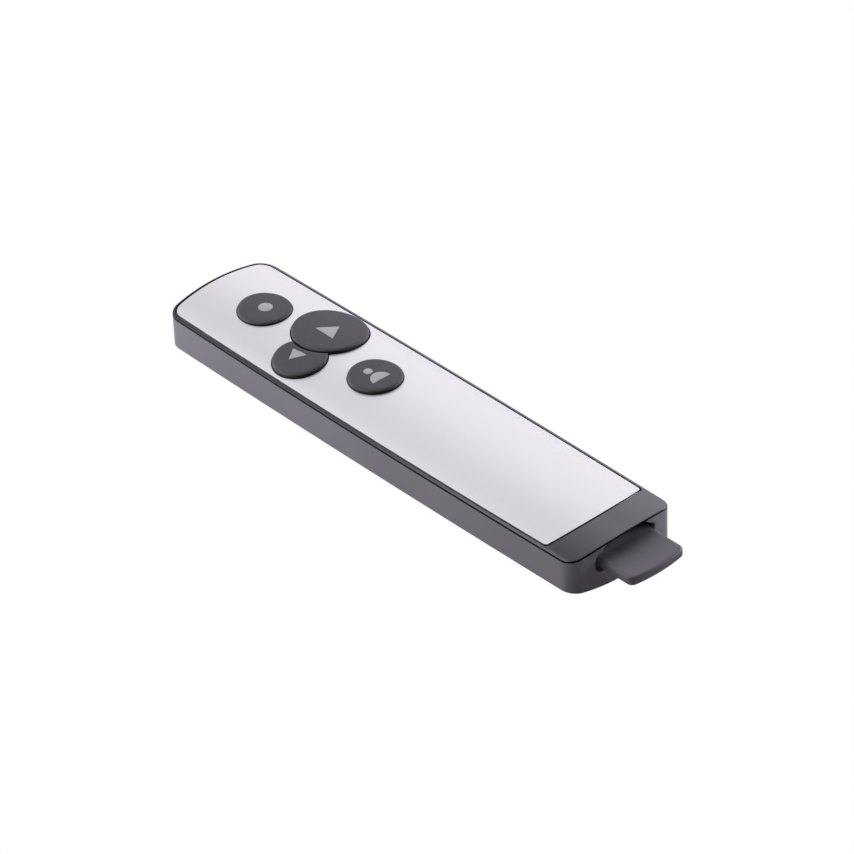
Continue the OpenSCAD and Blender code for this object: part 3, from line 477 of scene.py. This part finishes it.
def end_y(x):
    """Where the receiver's end wall lies at x: the bowed end of the bar."""
    bow_r = (BODY_HALF ** 2 + RECEIVER_END_BOW ** 2) / (2 * RECEIVER_END_BOW)
    return -BODY_END + bow_r - np.sqrt(bow_r ** 2 - np.square(x))


def flared_recess(outline, depth, flare):
    """A plug-shaped tool in the end wall: the outline runs straight in to depth, and widens by flare at the
    surface."""
    middle = outline.mean(0)
    rings = []
    profile = ((depth, 0.0), (flare, 0.0), (flare * 0.6, 0.08 * flare), (flare * 0.3, 0.3 * flare),
               (0.0, flare), (-1.0, flare + 1.0))
    for d, grow in profile:
        away = outline - middle
        spread = outline + away / np.linalg.norm(away, axis=1)[:, None] * grow
        y = np.full(len(spread), -BODY_END + depth) if d == depth else end_y(spread[:, 0]) + d
        rings.append(np.column_stack([spread[:, 0], y, spread[:, 1]]))
    return tube_mesh(rings, caps=(True, True))


def mirrored(right):
    """A polygon that is the same on both sides, from the corners of its right half, upwards."""
    return right + [(-x, z) for x, z in right[::-1]]


mouth_low, mouth_high = RECEIVER_Z - MOUTH_H / 2, RECEIVER_Z + MOUTH_H / 2
recess_radii = [MOUTH_CORNER, MOUTH_CORNER, SCOOP_MEET, SCOOP_BEND, SCOOP_BEND]
recess = polygon_outline(mirrored([(MOUTH_W / 2, mouth_low), (MOUTH_W / 2, mouth_high),
                                   (SCOOP_FOOT_W / 2, mouth_high), (SCOOP_TOP_W / 2, BODY_TOP - 0.1),
                                   (SCOOP_TOP_W / 2, BODY_TOP + 3)]),
                         recess_radii + recess_radii[::-1])
slip = 0.02
mouth_side = MOUTH_W / 2 - slip
mouth = polygon_outline(mirrored([(mouth_side, mouth_low + slip), (mouth_side, mouth_high - slip)]),
                        MOUTH_CORNER - slip)
slot_tool = tube_mesh([np.column_stack([mouth[:, 0], np.full(len(mouth), y), mouth[:, 1]])
                       for y in (-BODY_END + RECEIVER_WALL + 1, -BODY_END + 0.5)], caps=(True, True))
carve(bottom_case, [flared_recess(recess, SCOOP_DEPTH, 0.2)])
carve(bottom_case, [slot_tool])
LASER_Z, APERTURE, WINDOW = 5.7, 1.6, 2.4


def y_tube(x, z, profile, count=64):
    """A turned form about an axis along Y: profile gives (y, radius) pairs, capped at both ends."""
    angle = np.linspace(0, 2 * math.pi, count, endpoint=False)
    rings = [np.column_stack([x + r * np.cos(angle), np.full(count, y), z + r * np.sin(angle)])
             for y, r in profile]
    return tube_mesh(rings, caps=(True, True))


carve(bottom_case, [y_tube(0, LASER_Z, [(BODY_END - WALL - 1, APERTURE), (BODY_END - 1.05, APERTURE),
                                       (BODY_END - 1.04, WINDOW + 0.05), (BODY_END - 0.3, WINDOW + 0.05),
                                       (BODY_END - 0.02, WINDOW + 0.3), (BODY_END + 1, WINDOW + 1.2)])])
make_piece("case_ribs_and_posts", case_parts[1:], case_finish, "housing")

# ------------------------------------------------------------------ top frame
# One moulding in glossy near-black plastic: a narrow rim round the plate, a bare lip over the receiver, and
# under the plate a deck with the button holes. It closes the tub with a lap joint.

PLATE_HALF, LIP, PLATE_END_GAP = 16.65, 9.5, 0.9
PLATE_LIP_BOW, PLATE_LIP_CORNER, PLATE_LASER_CORNER, PLATE_THICK = 2.2, 1.2, 3.5, 0.5
DECK_DROP, DECK_IN, PLATE_GAP = 1.5, 1.7, 0.42
LASER_BUTTON, BLANK_BUTTON = (0.0, 56.9, 7.3), (0.0, 13.8, 7.3)
FORWARD_BUTTON, BACK_BUTTON = (5.4, 37.3, 10.3), (-8.0, 33.9, 7.35)
BUTTONS = (LASER_BUTTON, BLANK_BUTTON, FORWARD_BUTTON, BACK_BUTTON)
BUTTON_GAP = 0.15


def plate_outline(inset=0.0):
    """Outline of the plate at an inset: a narrow rim inside the body's, and bowed beside the lip."""
    return bar_outline(PLATE_HALF, -BODY_END + LIP, BODY_END - PLATE_END_GAP, PLATE_LIP_BOW, LASER_END_BOW,
                       PLATE_LIP_CORNER, PLATE_LASER_CORNER, inset)


def loop_distance(loop, points):
    """Signed distance of each point from a closed loop, positive inside it, and the nearest point of the
    loop. The distance is to the nearest segment, and inside is the even-odd rule of a ray along X."""
    a, b = loop, np.roll(loop, -1, axis=0)
    seg = b - a
    size = np.maximum((seg ** 2).sum(1), 1e-12)
    far = np.empty(len(points))
    near = np.empty((len(points), 2))
    for s in range(0, len(points), 4000):
        p = points[s:s + 4000]
        t = np.clip(((p[:, None] - a) * seg).sum(2) / size, 0, 1)
        q = a + t[..., None] * seg
        d = np.linalg.norm(p[:, None] - q, axis=2)
        k = d.argmin(1)
        rows = np.arange(len(p))
        cross = (a[:, 1] > p[:, None, 1]) != (b[:, 1] > p[:, None, 1])
        with np.errstate(divide="ignore", invalid="ignore"):
            at = a[:, 0] + (p[:, None, 1] - a[:, 1]) * seg[:, 0] / seg[:, 1]
        inside = (cross & (p[:, None, 0] < at)).sum(1) % 2 == 1
        far[s:s + 4000] = np.where(inside, 1, -1) * d[rows, k]
        near[s:s + 4000] = q[rows, k]
    return far, near


def slab(outer, holes, cell, top, bottom, narrow=1.0):
    """A closed sheet with holes: a square grid over the outline, whose border points are moved to the
    nearest edge, laid on the surfaces top and bottom, with walls round every edge. top and bottom are
    functions of x and y. narrow makes the cells that much narrower across, for a sheet with a thin strip
    beside a hole."""
    low, high = outer.min(0), outer.max(0)
    fine = cell * narrow
    nx, ny = int(math.ceil((high[0] - low[0]) / fine)) + 2, int(math.ceil((high[1] - low[1]) / cell)) + 2
    x = np.linspace(low[0] - fine / 2, high[0] + fine / 2, nx + 1)
    y = np.linspace(low[1] - cell / 2, high[1] + cell / 2, ny + 1)
    grid = np.stack(np.meshgrid(x, y, indexing="ij"), -1).reshape(-1, 2)
    room, edge = loop_distance(outer, grid)
    for hole in holes:
        d, q = loop_distance(hole, grid)
        closer = -d < room
        room = np.where(closer, -d, room)
        edge[closer] = q[closer]
    solid = room > 0.35 * fine
    i, j = [k.ravel() for k in np.meshgrid(np.arange(nx), np.arange(ny), indexing="ij")]
    here, across = i * (ny + 1) + j, (i + 1) * (ny + 1) + j
    quads = np.stack([here, across, across + 1, here + 1], 1)
    quads = quads[solid[quads].any(1)]
    grid[~solid] = edge[~solid]
    used, flat = np.unique(quads, return_inverse=True)
    quads = flat.reshape(quads.shape)
    plan = grid[used]
    count = len(plan)
    upper = np.column_stack([plan, top(plan[:, 0], plan[:, 1])])
    lower = np.column_stack([plan, bottom(plan[:, 0], plan[:, 1])])
    sides = np.concatenate([quads[:, [0, 1]], quads[:, [1, 2]], quads[:, [2, 3]], quads[:, [3, 0]]])
    key = np.sort(sides, 1) @ np.array([count, 1])
    _, where, times = np.unique(key, return_index=True, return_counts=True)
    rim = sides[where[times == 1]]
    walls = np.stack([rim[:, 0], rim[:, 1], rim[:, 1] + count, rim[:, 0] + count], 1)[:, ::-1]
    faces = quads.tolist() + (quads[:, ::-1] + count).tolist() + walls.tolist()
    return np.vstack([upper, lower]), faces


def button_hole(button, gap):
    """The circle that stands gap outside a button, which is its x, y and radius."""
    return round_outline(button[0], button[1], button[2] + gap, 160)


def gloss_plastic(name, colour):
    """Glossy near-black moulding, with faint polishing waves and a few dulled patches. On steep faces its
    shine is turned down to almost nothing, as painted shade that darkens the pocket's gap and the lower
    edge."""
    material, tree, shader, add = node_tree(name)
    place = add("ShaderNodeTexCoord").outputs["Object"]
    wave = add("ShaderNodeTexNoise", {"Vector": place, "Scale": 90.0, "Detail": 2.0})
    haze = add("ShaderNodeTexNoise", {"Vector": place, "Scale": 420.0, "Detail": 5.0, "Roughness": 0.65})
    gloss = add("ShaderNodeMapRange", {"Value": haze.outputs["Fac"], "From Min": 0.35, "From Max": 0.75,
                                       "To Min": 0.08, "To Max": 0.13})
    tint = add("ShaderNodeMix", {"Factor": wave.outputs["Fac"], "A": (*colour, 1),
                                 "B": (*[c * 1.25 for c in colour], 1)}, data_type="RGBA")
    bump = add("ShaderNodeBump", {"Height": wave.outputs["Fac"], "Strength": 0.06, "Distance": 0.0002})
    tree.links.new([s for s in tint.outputs if s.type == "RGBA"][0], shader.inputs["Base Color"])
    tree.links.new(gloss.outputs["Result"], shader.inputs["Roughness"])
    tree.links.new(bump.outputs["Normal"], shader.inputs["Normal"])
    # painted shade: the reflection fades out on faces that do not point up, so the steep faces, the pocket's
    # gap and the lower edge look dark
    up = add("ShaderNodeSeparateXYZ", {"Vector": add("ShaderNodeTexCoord").outputs["Normal"]}).outputs["Z"]
    painted_steep_shade = add("ShaderNodeMapRange", {"Value": up, "From Min": 0.75, "From Max": 0.97,
                                        "To Min": 0.02, "To Max": 1.0})
    tree.links.new(painted_steep_shade.outputs["Result"], shader.inputs["Specular IOR Level"])
    shader.inputs["IOR"].default_value = 1.6
    shader.inputs["Specular Tint"].default_value = (0.95, 0.91, 1.0, 1)
    return material


frame_finish = gloss_plastic("frame_gloss", (0.012, 0.011, 0.017))

RIM_ROUND, RIM_CHAMFER, RIM_BEVEL, LAP_FIT, POCKET_FIT = 0.28, 0.07, 0.08, 0.05, 0.02
SKIRT_IN, SKIRT_DROP, LEDGE_IN, LEDGE_DROP = 1.3, 1.05, 0.8, 1.2
rim_top = ring(body_outline(RIM_ROUND), crown_z)
plate_edge = ring(plate_outline(-PLATE_GAP - RIM_CHAMFER), crown_z)
under_rim = ring(body_outline(SKIRT_IN), on_crown(SKIRT_DROP))
pocket_foot = ring(plate_outline(LEDGE_IN), on_crown(LEDGE_DROP))
frame_rings = [under_rim, ring(body_outline(LAP + LAP_FIT), on_crown(SKIRT_DROP)),
               ring(body_outline(LAP + LAP_FIT), on_crown(FRAME_EDGE)),
               ring(body_outline(RIM_BEVEL), on_crown(FRAME_EDGE)),
               ring(body_outline(0.0), on_crown(FRAME_EDGE - RIM_BEVEL))]
frame_rings += rounded_edge(body_outline, RIM_ROUND, crown_z, steps=7)
frame_rings += between(rim_top, plate_edge, 16, crown_z)
frame_rings += [plate_edge, ring(plate_outline(-PLATE_GAP), on_crown(RIM_CHAMFER)),
                ring(plate_outline(-PLATE_GAP), on_crown(PLATE_THICK + POCKET_FIT)),
                ring(plate_outline(LEDGE_IN), on_crown(PLATE_THICK + POCKET_FIT)), pocket_foot]
frame_rings += between(pocket_foot, under_rim, 6, on_crown(LAP_DROP))
deck_loop = bar_outline(BODY_HALF, -BODY_END + RECEIVER_WALL + 0.1, BODY_END, NO_BOW, LASER_END_BOW,
                        INNER_CORNER, LASER_CORNER, DECK_IN)
deck = slab(deck_loop, [button_hole(b, BUTTON_GAP) for b in BUTTONS], 0.8,
            lambda x, y: crown_z(x, PLATE_THICK + 0.05), lambda x, y: crown_z(x, DECK_DROP))
make_piece("top_frame_moulding", [tube_mesh(frame_rings, closed=True), deck], frame_finish,
           "housing", replaced=["top_frame"])

# ------------------------------------------------------------------ face plate
# A sheet of aluminium half a millimetre thick, pressed to the crown, with its brushing along the bar. It lies
# in the frame's pocket, and the four button holes are punched through it.


def brushed_metal(name, colour, roughness):
    """Brushed aluminium: streaks along Y, from noise that is stretched along the bar, in colour, gloss and
    bump."""
    material, tree, shader, add = node_tree(name)
    place = add("ShaderNodeTexCoord").outputs["Object"]
    stretch = add("ShaderNodeMapping", {"Vector": place, "Scale": (1.0, 0.02, 1.0)})
    hair = add("ShaderNodeTexNoise", {"Vector": stretch.outputs["Vector"], "Scale": 5200.0, "Detail": 4.0,
                                      "Roughness": 0.7})
    band = add("ShaderNodeTexNoise", {"Vector": stretch.outputs["Vector"], "Scale": 700.0, "Detail": 3.0})
    tone = add("ShaderNodeMix", {"Factor": hair.outputs["Fac"], "A": (*[c * 0.975 for c in colour], 1),
                                 "B": (*[min(c * 1.025, 1.0) for c in colour], 1)}, data_type="RGBA")
    gloss = add("ShaderNodeMapRange", {"Value": band.outputs["Fac"], "From Min": 0.3, "From Max": 0.7,
                                       "To Min": roughness - 0.01, "To Max": roughness + 0.01})
    bump = add("ShaderNodeBump", {"Height": hair.outputs["Fac"], "Strength": 0.06, "Distance": 0.00002})
    tree.links.new([s for s in tone.outputs if s.type == "RGBA"][0], shader.inputs["Base Color"])
    tree.links.new(gloss.outputs["Result"], shader.inputs["Roughness"])
    tree.links.new(bump.outputs["Normal"], shader.inputs["Normal"])
    shader.inputs["Metallic"].default_value = 1.0
    return material


plate_finish = brushed_metal("plate_brushed", (0.885, 0.87, 0.878), 0.38)
plate = make_piece("face_plate_sheet",
                   [slab(plate_outline(0.05), [button_hole(b, BUTTON_GAP) for b in BUTTONS], 0.55,
                         lambda x, y: crown_z(x, 0.0), lambda x, y: crown_z(x, PLATE_THICK), 0.4)],
                   plate_finish, "housing", replaced=["face_plate"])
plate_bevel = plate.modifiers.new("edge", "BEVEL")
plate_bevel.width, plate_bevel.segments, plate_bevel.limit_method = 0.03 * MM, 2, "ANGLE"
plate_bevel.angle_limit = math.radians(50)

# ------------------------------------------------------------------ buttons
# Four caps moulded in soft black rubber, with softly rounded rims and tops that follow the crown. Each is
# held by a flange under the deck and stands on its switch by a stem. The forward cap bites into the back cap.
# The pictograms are pale printing.

FLANGE, FLANGE_TOP, FLANGE_LOW, CAP_WALL, STEM, STEM_Z = 0.6, 1.6, 2.3, 1.3, 2.2, 9.9
BITE_GAP, RIM_WIDE, RIM_TALL, SKIRT_INSIDE = 0.35, 0.95, 0.55, 15.0


def bitten_outline(inset, arc=110, bite_arc=60):
    """The back button's outline: its own circle, and the concave arc that keeps clear of the forward
    button."""
    (bx, by, br), (fx, fy, fr) = BACK_BUTTON, FORWARD_BUTTON
    own, other = br - inset, fr + BITE_GAP + inset
    gap = math.hypot(fx - bx, fy - by)
    towards = math.atan2(fy - by, fx - bx)
    along = (gap ** 2 + own ** 2 - other ** 2) / (2 * gap)
    half = math.acos(along / own)
    back_half = math.acos((gap - along) / other)
    circle = arc_points((bx, by), own, towards + half, towards + 2 * math.pi - half, arc)
    concave = arc_points((fx, fy), other, towards + math.pi + back_half, towards + math.pi - back_half,
                         bite_arc)
    return np.vstack([circle, concave])


def rubber_cap(outline_at, height, seat):
    """Rings of a hollow cap from the middle of its roof out over a soft rim, down to the flange, and back up
    inside. outline_at gives the cap's outline at an inset. The rim is a quarter ellipse: inset
    RIM_WIDE * (1 - cos a) and drop RIM_TALL * (1 - sin a). seat is the middle of the stem."""
    def squeeze(outline, share):
        """The outline drawn in about its middle, to a share of its size."""
        return outline.mean(0) + share * (outline - outline.mean(0))

    inner = outline_at(RIM_WIDE)
    rings = [ring(squeeze(inner, s), on_crown(-height))
             for s in (0.03, 0.15, 0.3, 0.45, 0.6, 0.75, 0.88, 0.96)]
    rings += [ring(outline_at(RIM_WIDE * (1 - math.cos(a))), on_crown(RIM_TALL * (1 - math.sin(a)) - height))
              for a in np.linspace(math.pi / 2, 0, 10)]
    rings += [ring(outline_at(0.0), on_crown(d)) for d in (0.4, FLANGE_TOP)]
    rings += [ring(outline_at(-FLANGE), on_crown(FLANGE_TOP)),
              ring(outline_at(-FLANGE), on_crown(FLANGE_LOW)),
              ring(outline_at(CAP_WALL), on_crown(FLANGE_LOW)),
              ring(outline_at(CAP_WALL), on_crown(CAP_WALL - height))]
    hub = round_outline(seat[0], seat[1], STEM, len(inner))
    first = inner[0] - inner.mean(0)
    start = np.array(seat) + first / np.linalg.norm(first) * STEM
    hub = np.roll(hub, -np.argmin(np.linalg.norm(hub - start, axis=1)), axis=0)
    rings += [ring(hub, on_crown(CAP_WALL - height)), ring(hub, STEM_Z)]
    return tube_mesh(rings[::-1], caps=(True, True))


def soft_rubber(name, colour):
    """Silicone rubber: matte, with a fine grain and a dusty tone that drifts at random, and painted shade
    that darkens its steep sides."""
    material, tree, shader, add = node_tree(name)
    place = add("ShaderNodeTexCoord").outputs["Object"]
    fine = add("ShaderNodeTexNoise", {"Vector": place, "Scale": 3400.0, "Detail": 4.0, "Roughness": 0.65})
    dust = add("ShaderNodeTexNoise", {"Vector": place, "Scale": 260.0, "Detail": 4.0})
    tone = add("ShaderNodeMix", {"Factor": dust.outputs["Fac"], "A": (*[c * 0.9 for c in colour], 1),
                                 "B": (*[c * 1.15 for c in colour], 1)}, data_type="RGBA")
    gloss = add("ShaderNodeMapRange", {"Value": fine.outputs["Fac"], "To Min": 0.5, "To Max": 0.68})
    bump = add("ShaderNodeBump", {"Height": fine.outputs["Fac"], "Strength": 0.4, "Distance": 0.00002})
    # painted shade: the colour falls to 0.35 of itself down the steep sides of the caps
    up = add("ShaderNodeSeparateXYZ", {"Vector": add("ShaderNodeTexCoord").outputs["Normal"]}).outputs["Z"]
    painted_side_shade = add("ShaderNodeMapRange", {"Value": up, "From Min": 0.1, "From Max": 0.6,
                                      "To Min": 0.35, "To Max": 1.0})
    shade = add("ShaderNodeMix", {"Factor": 1.0, "A": [s for s in tone.outputs if s.type == "RGBA"][0]},
                data_type="RGBA", blend_type="MULTIPLY")
    tree.links.new(painted_side_shade.outputs["Result"], shade.inputs["B"])
    tree.links.new([s for s in shade.outputs if s.type == "RGBA"][0], shader.inputs["Base Color"])
    tree.links.new(gloss.outputs["Result"], shader.inputs["Roughness"])
    tree.links.new(bump.outputs["Normal"], shader.inputs["Normal"])
    shader.inputs["Specular IOR Level"].default_value = 0.3
    return material


rubber_finish = soft_rubber("button_rubber_finish", (0.1, 0.094, 0.108))


def disc_at(button):
    """A round button's outline, as a function of its inset."""
    return lambda inset: round_outline(button[0], button[1], button[2] - inset, 144)


def slimmed(outline_at, slim):
    """The outline, slimmer all round, with its flange held clear of the skirt inside the case's walls."""
    def clipped(inset):
        """The slimmer outline at an inset, cut off at the skirt where it is wider than the cap."""
        outline = outline_at(inset + slim)
        if inset >= 0:
            return outline
        return np.column_stack([np.clip(outline[:, 0], -SKIRT_INSIDE, SKIRT_INSIDE), outline[:, 1]])
    return clipped


LASER_TALL, FORWARD_TALL, BACK_TALL, BLANK_TALL = 0.8, 1.05, 1.05, 1.0
for name, outline_at, slim, height, seat in (
        ("laser", disc_at(LASER_BUTTON), 0.05, LASER_TALL, LASER_BUTTON[:2]),
        ("forward", disc_at(FORWARD_BUTTON), 0.17, FORWARD_TALL, FORWARD_BUTTON[:2]),
        ("back", bitten_outline, 0.14, BACK_TALL, BACK_BUTTON[:2]),
        ("blank", disc_at(BLANK_BUTTON), 0.03, BLANK_TALL, BLANK_BUTTON[:2])):
    make_piece(name + "_cap", [rubber_cap(slimmed(outline_at, slim), height, seat)], rubber_finish,
               name + "_key", replaced=[name + "_button"])

print_finish = satin_plastic("pictogram_print", (0.52, 0.51, 0.53), 0.55, grain=0.3)


def printed(outline, height):
    """A thin flat print on a cap: a domed edge two hundredths of a millimetre high over the crowned roof."""
    rings = [ring(outline, on_crown(-height + 0.05))]
    middle = outline.mean(0)
    for share, lift in ((1.0, 0.015), (0.985, 0.025), (0.6, 0.025), (0.3, 0.025), (0.05, 0.025)):
        rings.append(ring(middle + share * (outline - middle), on_crown(-height - lift)))
    return tube_mesh(rings, caps=(True, True))


HEAD, SHOULDER_X, SHOULDER_Y, SHOULDER_HALF, SHOULDER_TALL = (-0.54, 15.98, 1.22), -0.23, 11.05, 2.88, 3.15
DISC, FORWARD_ARROW = (0.1, 56.65, 1.92), [(2.8, 33.3), (8.0, 36.5), (2.82, 40.1)]
BACK_ARROW, ARROW_CORNER = [(-6.55, 32.75), (-7.07, 37.5), (-10.75, 35.1)], 0.15
head = round_outline(*HEAD, 48)
dome = np.linspace(0, math.pi, 40)
shoulders = np.vstack([
    np.column_stack([SHOULDER_HALF * np.cos(dome) + SHOULDER_X, SHOULDER_Y + SHOULDER_TALL * np.sin(dome)]),
    np.column_stack([np.linspace(-3.0, 2.54, 17), np.full(17, SHOULDER_Y)])])
for name, outlines, height, body in (
        ("laser_mark", [round_outline(*DISC, 64)], LASER_TALL, "laser_key"),
        ("forward_mark", [polygon_outline(FORWARD_ARROW, ARROW_CORNER)], FORWARD_TALL, "forward_key"),
        ("back_mark", [polygon_outline(BACK_ARROW, ARROW_CORNER)], BACK_TALL, "back_key"),
        ("blank_mark", [head, shoulders], BLANK_TALL, "blank_key")):
    make_piece(name, [printed(o, height) for o in outlines], print_finish, body)

# ------------------------------------------------------------------ receiver
# The cap of the USB receiver: two moulded soft-touch shells, a low tongue with a bowed end that rises by a
# ramp to the plug's end. They meet in a fine parting line, and hold the plug of folded nickel-plated steel
# between them.

CAP_HALF, CAP_LONG, RECEIVER_OUT, TONGUE, RAMP = 9.2, 20.0, 11.6, 12.2, 4.3
CAP_OUTER = -BODY_END - RECEIVER_OUT
CAP_INNER = CAP_OUTER + CAP_LONG
CAP_LOW_H, CAP_HIGH_H, PARTING = 2.55, 5.6, 8.025
NOSE_BOW, CAP_CORNER, ROOT_CORNER, CAP_EDGE = 0.9, 1.9, 1.0, 0.7


def cap_outline(inset=0.0):
    """Outline of the receiver's cap at an inset: straight sides, and a bowed nose with round corners."""
    return bar_outline(CAP_HALF, CAP_OUTER, CAP_INNER, NOSE_BOW, NO_BOW, CAP_CORNER, ROOT_CORNER, inset,
                       STRAIGHT)


def cap_surface(outline, drop, upper):
    """Points at depth drop below the cap's top, or above its underside: flat out to the tongue's root, then
    up a smooth ramp t * t * (3 - 2 * t) to the height of the plug's end."""
    t = np.clip((outline[:, 1] - CAP_OUTER - TONGUE) / RAMP, 0.0, 1.0)
    half = CAP_LOW_H / 2 + (CAP_HIGH_H - CAP_LOW_H) / 2 * t * t * (3 - 2 * t) - drop
    return np.column_stack([outline, RECEIVER_Z + (half if upper else -half)])


def cap_shell(upper, groove=0.05):
    """A closed half of the cap: flat at the parting line, up its side, over a rounded edge, and in to the
    spine, where the rings close on themselves."""
    sign = 1 if upper else -1
    edge = cap_outline()
    spine = np.column_stack([np.zeros(len(edge)), np.clip(edge[:, 1], CAP_OUTER + 6, CAP_INNER - 3)])
    rings = [ring(spine + 0.3 * (cap_outline(groove) - spine), PARTING + sign * 0.01),
             ring(cap_outline(groove), PARTING + sign * 0.01), ring(edge, PARTING + sign * groove)]
    for a in np.linspace(0, math.pi / 2, 9):
        inset, drop = CAP_EDGE * (1 - math.cos(a)), CAP_EDGE * (1 - math.sin(a))
        rings.append(cap_surface(cap_outline(inset), drop, upper))
    inner = cap_outline(CAP_EDGE)
    for share in (0.9, 0.75, 0.6, 0.45, 0.3, 0.15, 0.0):
        rings.append(cap_surface(spine + share * (inner - spine), 0.0, upper))
    return tube_mesh(rings, caps=(True, False))


receiver_finish = satin_plastic("receiver_soft_touch", (0.165, 0.156, 0.184), 0.5, grain=0.5)
make_piece("receiver_top_shell", [cap_shell(True)], receiver_finish, "receiver",
           replaced=["receiver_top"])
make_piece("receiver_bottom_shell", [cap_shell(False)], receiver_finish, "receiver",
           replaced=["receiver_bottom"])

# ------------------------------------------------------------------ parts that the solids already show well
# The rest keeps its solid form and only gets its finish: plated contacts and switches, the boards and their
# chips, the cells in their film sleeves, the turned laser barrel with its lens and window, the dock and the
# battery door.


def plated(name, colour, roughness):
    """Plated or turned metal: fine scratches in its gloss and a slight tarnish in its colour."""
    material, tree, shader, add = node_tree(name)
    place = add("ShaderNodeTexCoord").outputs["Object"]
    scratch = add("ShaderNodeTexNoise", {"Vector": place, "Scale": 1800.0, "Detail": 4.0, "Roughness": 0.7})
    tarnish = add("ShaderNodeTexNoise", {"Vector": place, "Scale": 160.0, "Detail": 3.0})
    tone = add("ShaderNodeMix", {"Factor": tarnish.outputs["Fac"], "A": (*[c * 0.82 for c in colour], 1),
                                 "B": (*[min(c * 1.06, 1.0) for c in colour], 1)}, data_type="RGBA")
    gloss = add("ShaderNodeMapRange", {"Value": scratch.outputs["Fac"],
                                       "To Min": roughness - 0.08, "To Max": roughness + 0.1})
    bump = add("ShaderNodeBump", {"Height": scratch.outputs["Fac"], "Strength": 0.15, "Distance": 0.00001})
    tree.links.new([s for s in tone.outputs if s.type == "RGBA"][0], shader.inputs["Base Color"])
    tree.links.new(gloss.outputs["Result"], shader.inputs["Roughness"])
    tree.links.new(bump.outputs["Normal"], shader.inputs["Normal"])
    shader.inputs["Metallic"].default_value = 1.0
    return material


def clear_part(name, colour, roughness):
    """Glass or clear plastic with a faint haze."""
    material, tree, shader, add = node_tree(name)
    place = add("ShaderNodeTexCoord").outputs["Object"]
    haze = add("ShaderNodeTexNoise", {"Vector": place, "Scale": 500.0, "Detail": 3.0})
    gloss = add("ShaderNodeMapRange", {"Value": haze.outputs["Fac"],
                                       "To Min": roughness, "To Max": roughness + 0.06})
    tree.links.new(gloss.outputs["Result"], shader.inputs["Roughness"])
    shader.inputs["Base Color"].default_value = (*colour, 1)
    shader.inputs["Transmission Weight"].default_value = 0.9
    shader.inputs["IOR"].default_value = 1.5
    return material


nickel = plated("nickel_plate", (0.72, 0.70, 0.67), 0.28)
brass = plated("turned_brass", (0.78, 0.58, 0.28), 0.3)
black_part = satin_plastic("inner_black_plastic", (0.02, 0.02, 0.022), 0.45)
solder_mask = satin_plastic("solder_mask_green", (0.012, 0.1, 0.045), 0.3, grain=0.2, scale=1200.0, coat=0.3)
ceramic_tan = satin_plastic("fired_ceramic", (0.42, 0.28, 0.15), 0.5)
ivory_part = satin_plastic("ivory_plastic", (0.75, 0.74, 0.7), 0.45)
sleeve = satin_plastic("cell_sleeve_film", (0.03, 0.08, 0.22), 0.25, grain=0.1, coat=0.5)
lens_glass = clear_part("lens_glass_clear", (0.9, 0.95, 1.0), 0.02)
window_glass = clear_part("window_glass_tinted", (0.35, 0.03, 0.03), 0.04)
SOLID_FINISH = {
    "battery_door": case_finish,
    "laser_plunger": black_part, "forward_plunger": black_part,
    "back_plunger": black_part, "blank_plunger": black_part,
    "laser_switch": nickel, "forward_switch": nickel, "back_switch": nickel, "blank_switch": nickel,
    "main_board": solder_mask, "controller_chip": black_part, "radio_chip": black_part, "crystal_can": nickel,
    "board_capacitors": ceramic_tan, "chip_antenna": ivory_part,
    "laser_barrel": brass, "laser_diode": brass, "laser_lens": lens_glass, "laser_window": window_glass,
    "cell_left": sleeve, "cell_right": sleeve, "battery_springs": nickel, "positive_plate": nickel,
    "negative_plate": nickel, "bridge_plate": nickel, "receiver_dock": black_part, "dock_springs": nickel,
    "fixing_screws": nickel, "usb_shell": nickel, "usb_tongue": ivory_part, "usb_contacts": brass,
    "receiver_board": solder_mask, "receiver_chip": black_part, "receiver_crystal": nickel,
}
for node, finish in SOLID_FINISH.items():
    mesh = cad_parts[node].data
    mesh.materials.clear()
    mesh.materials.append(finish)
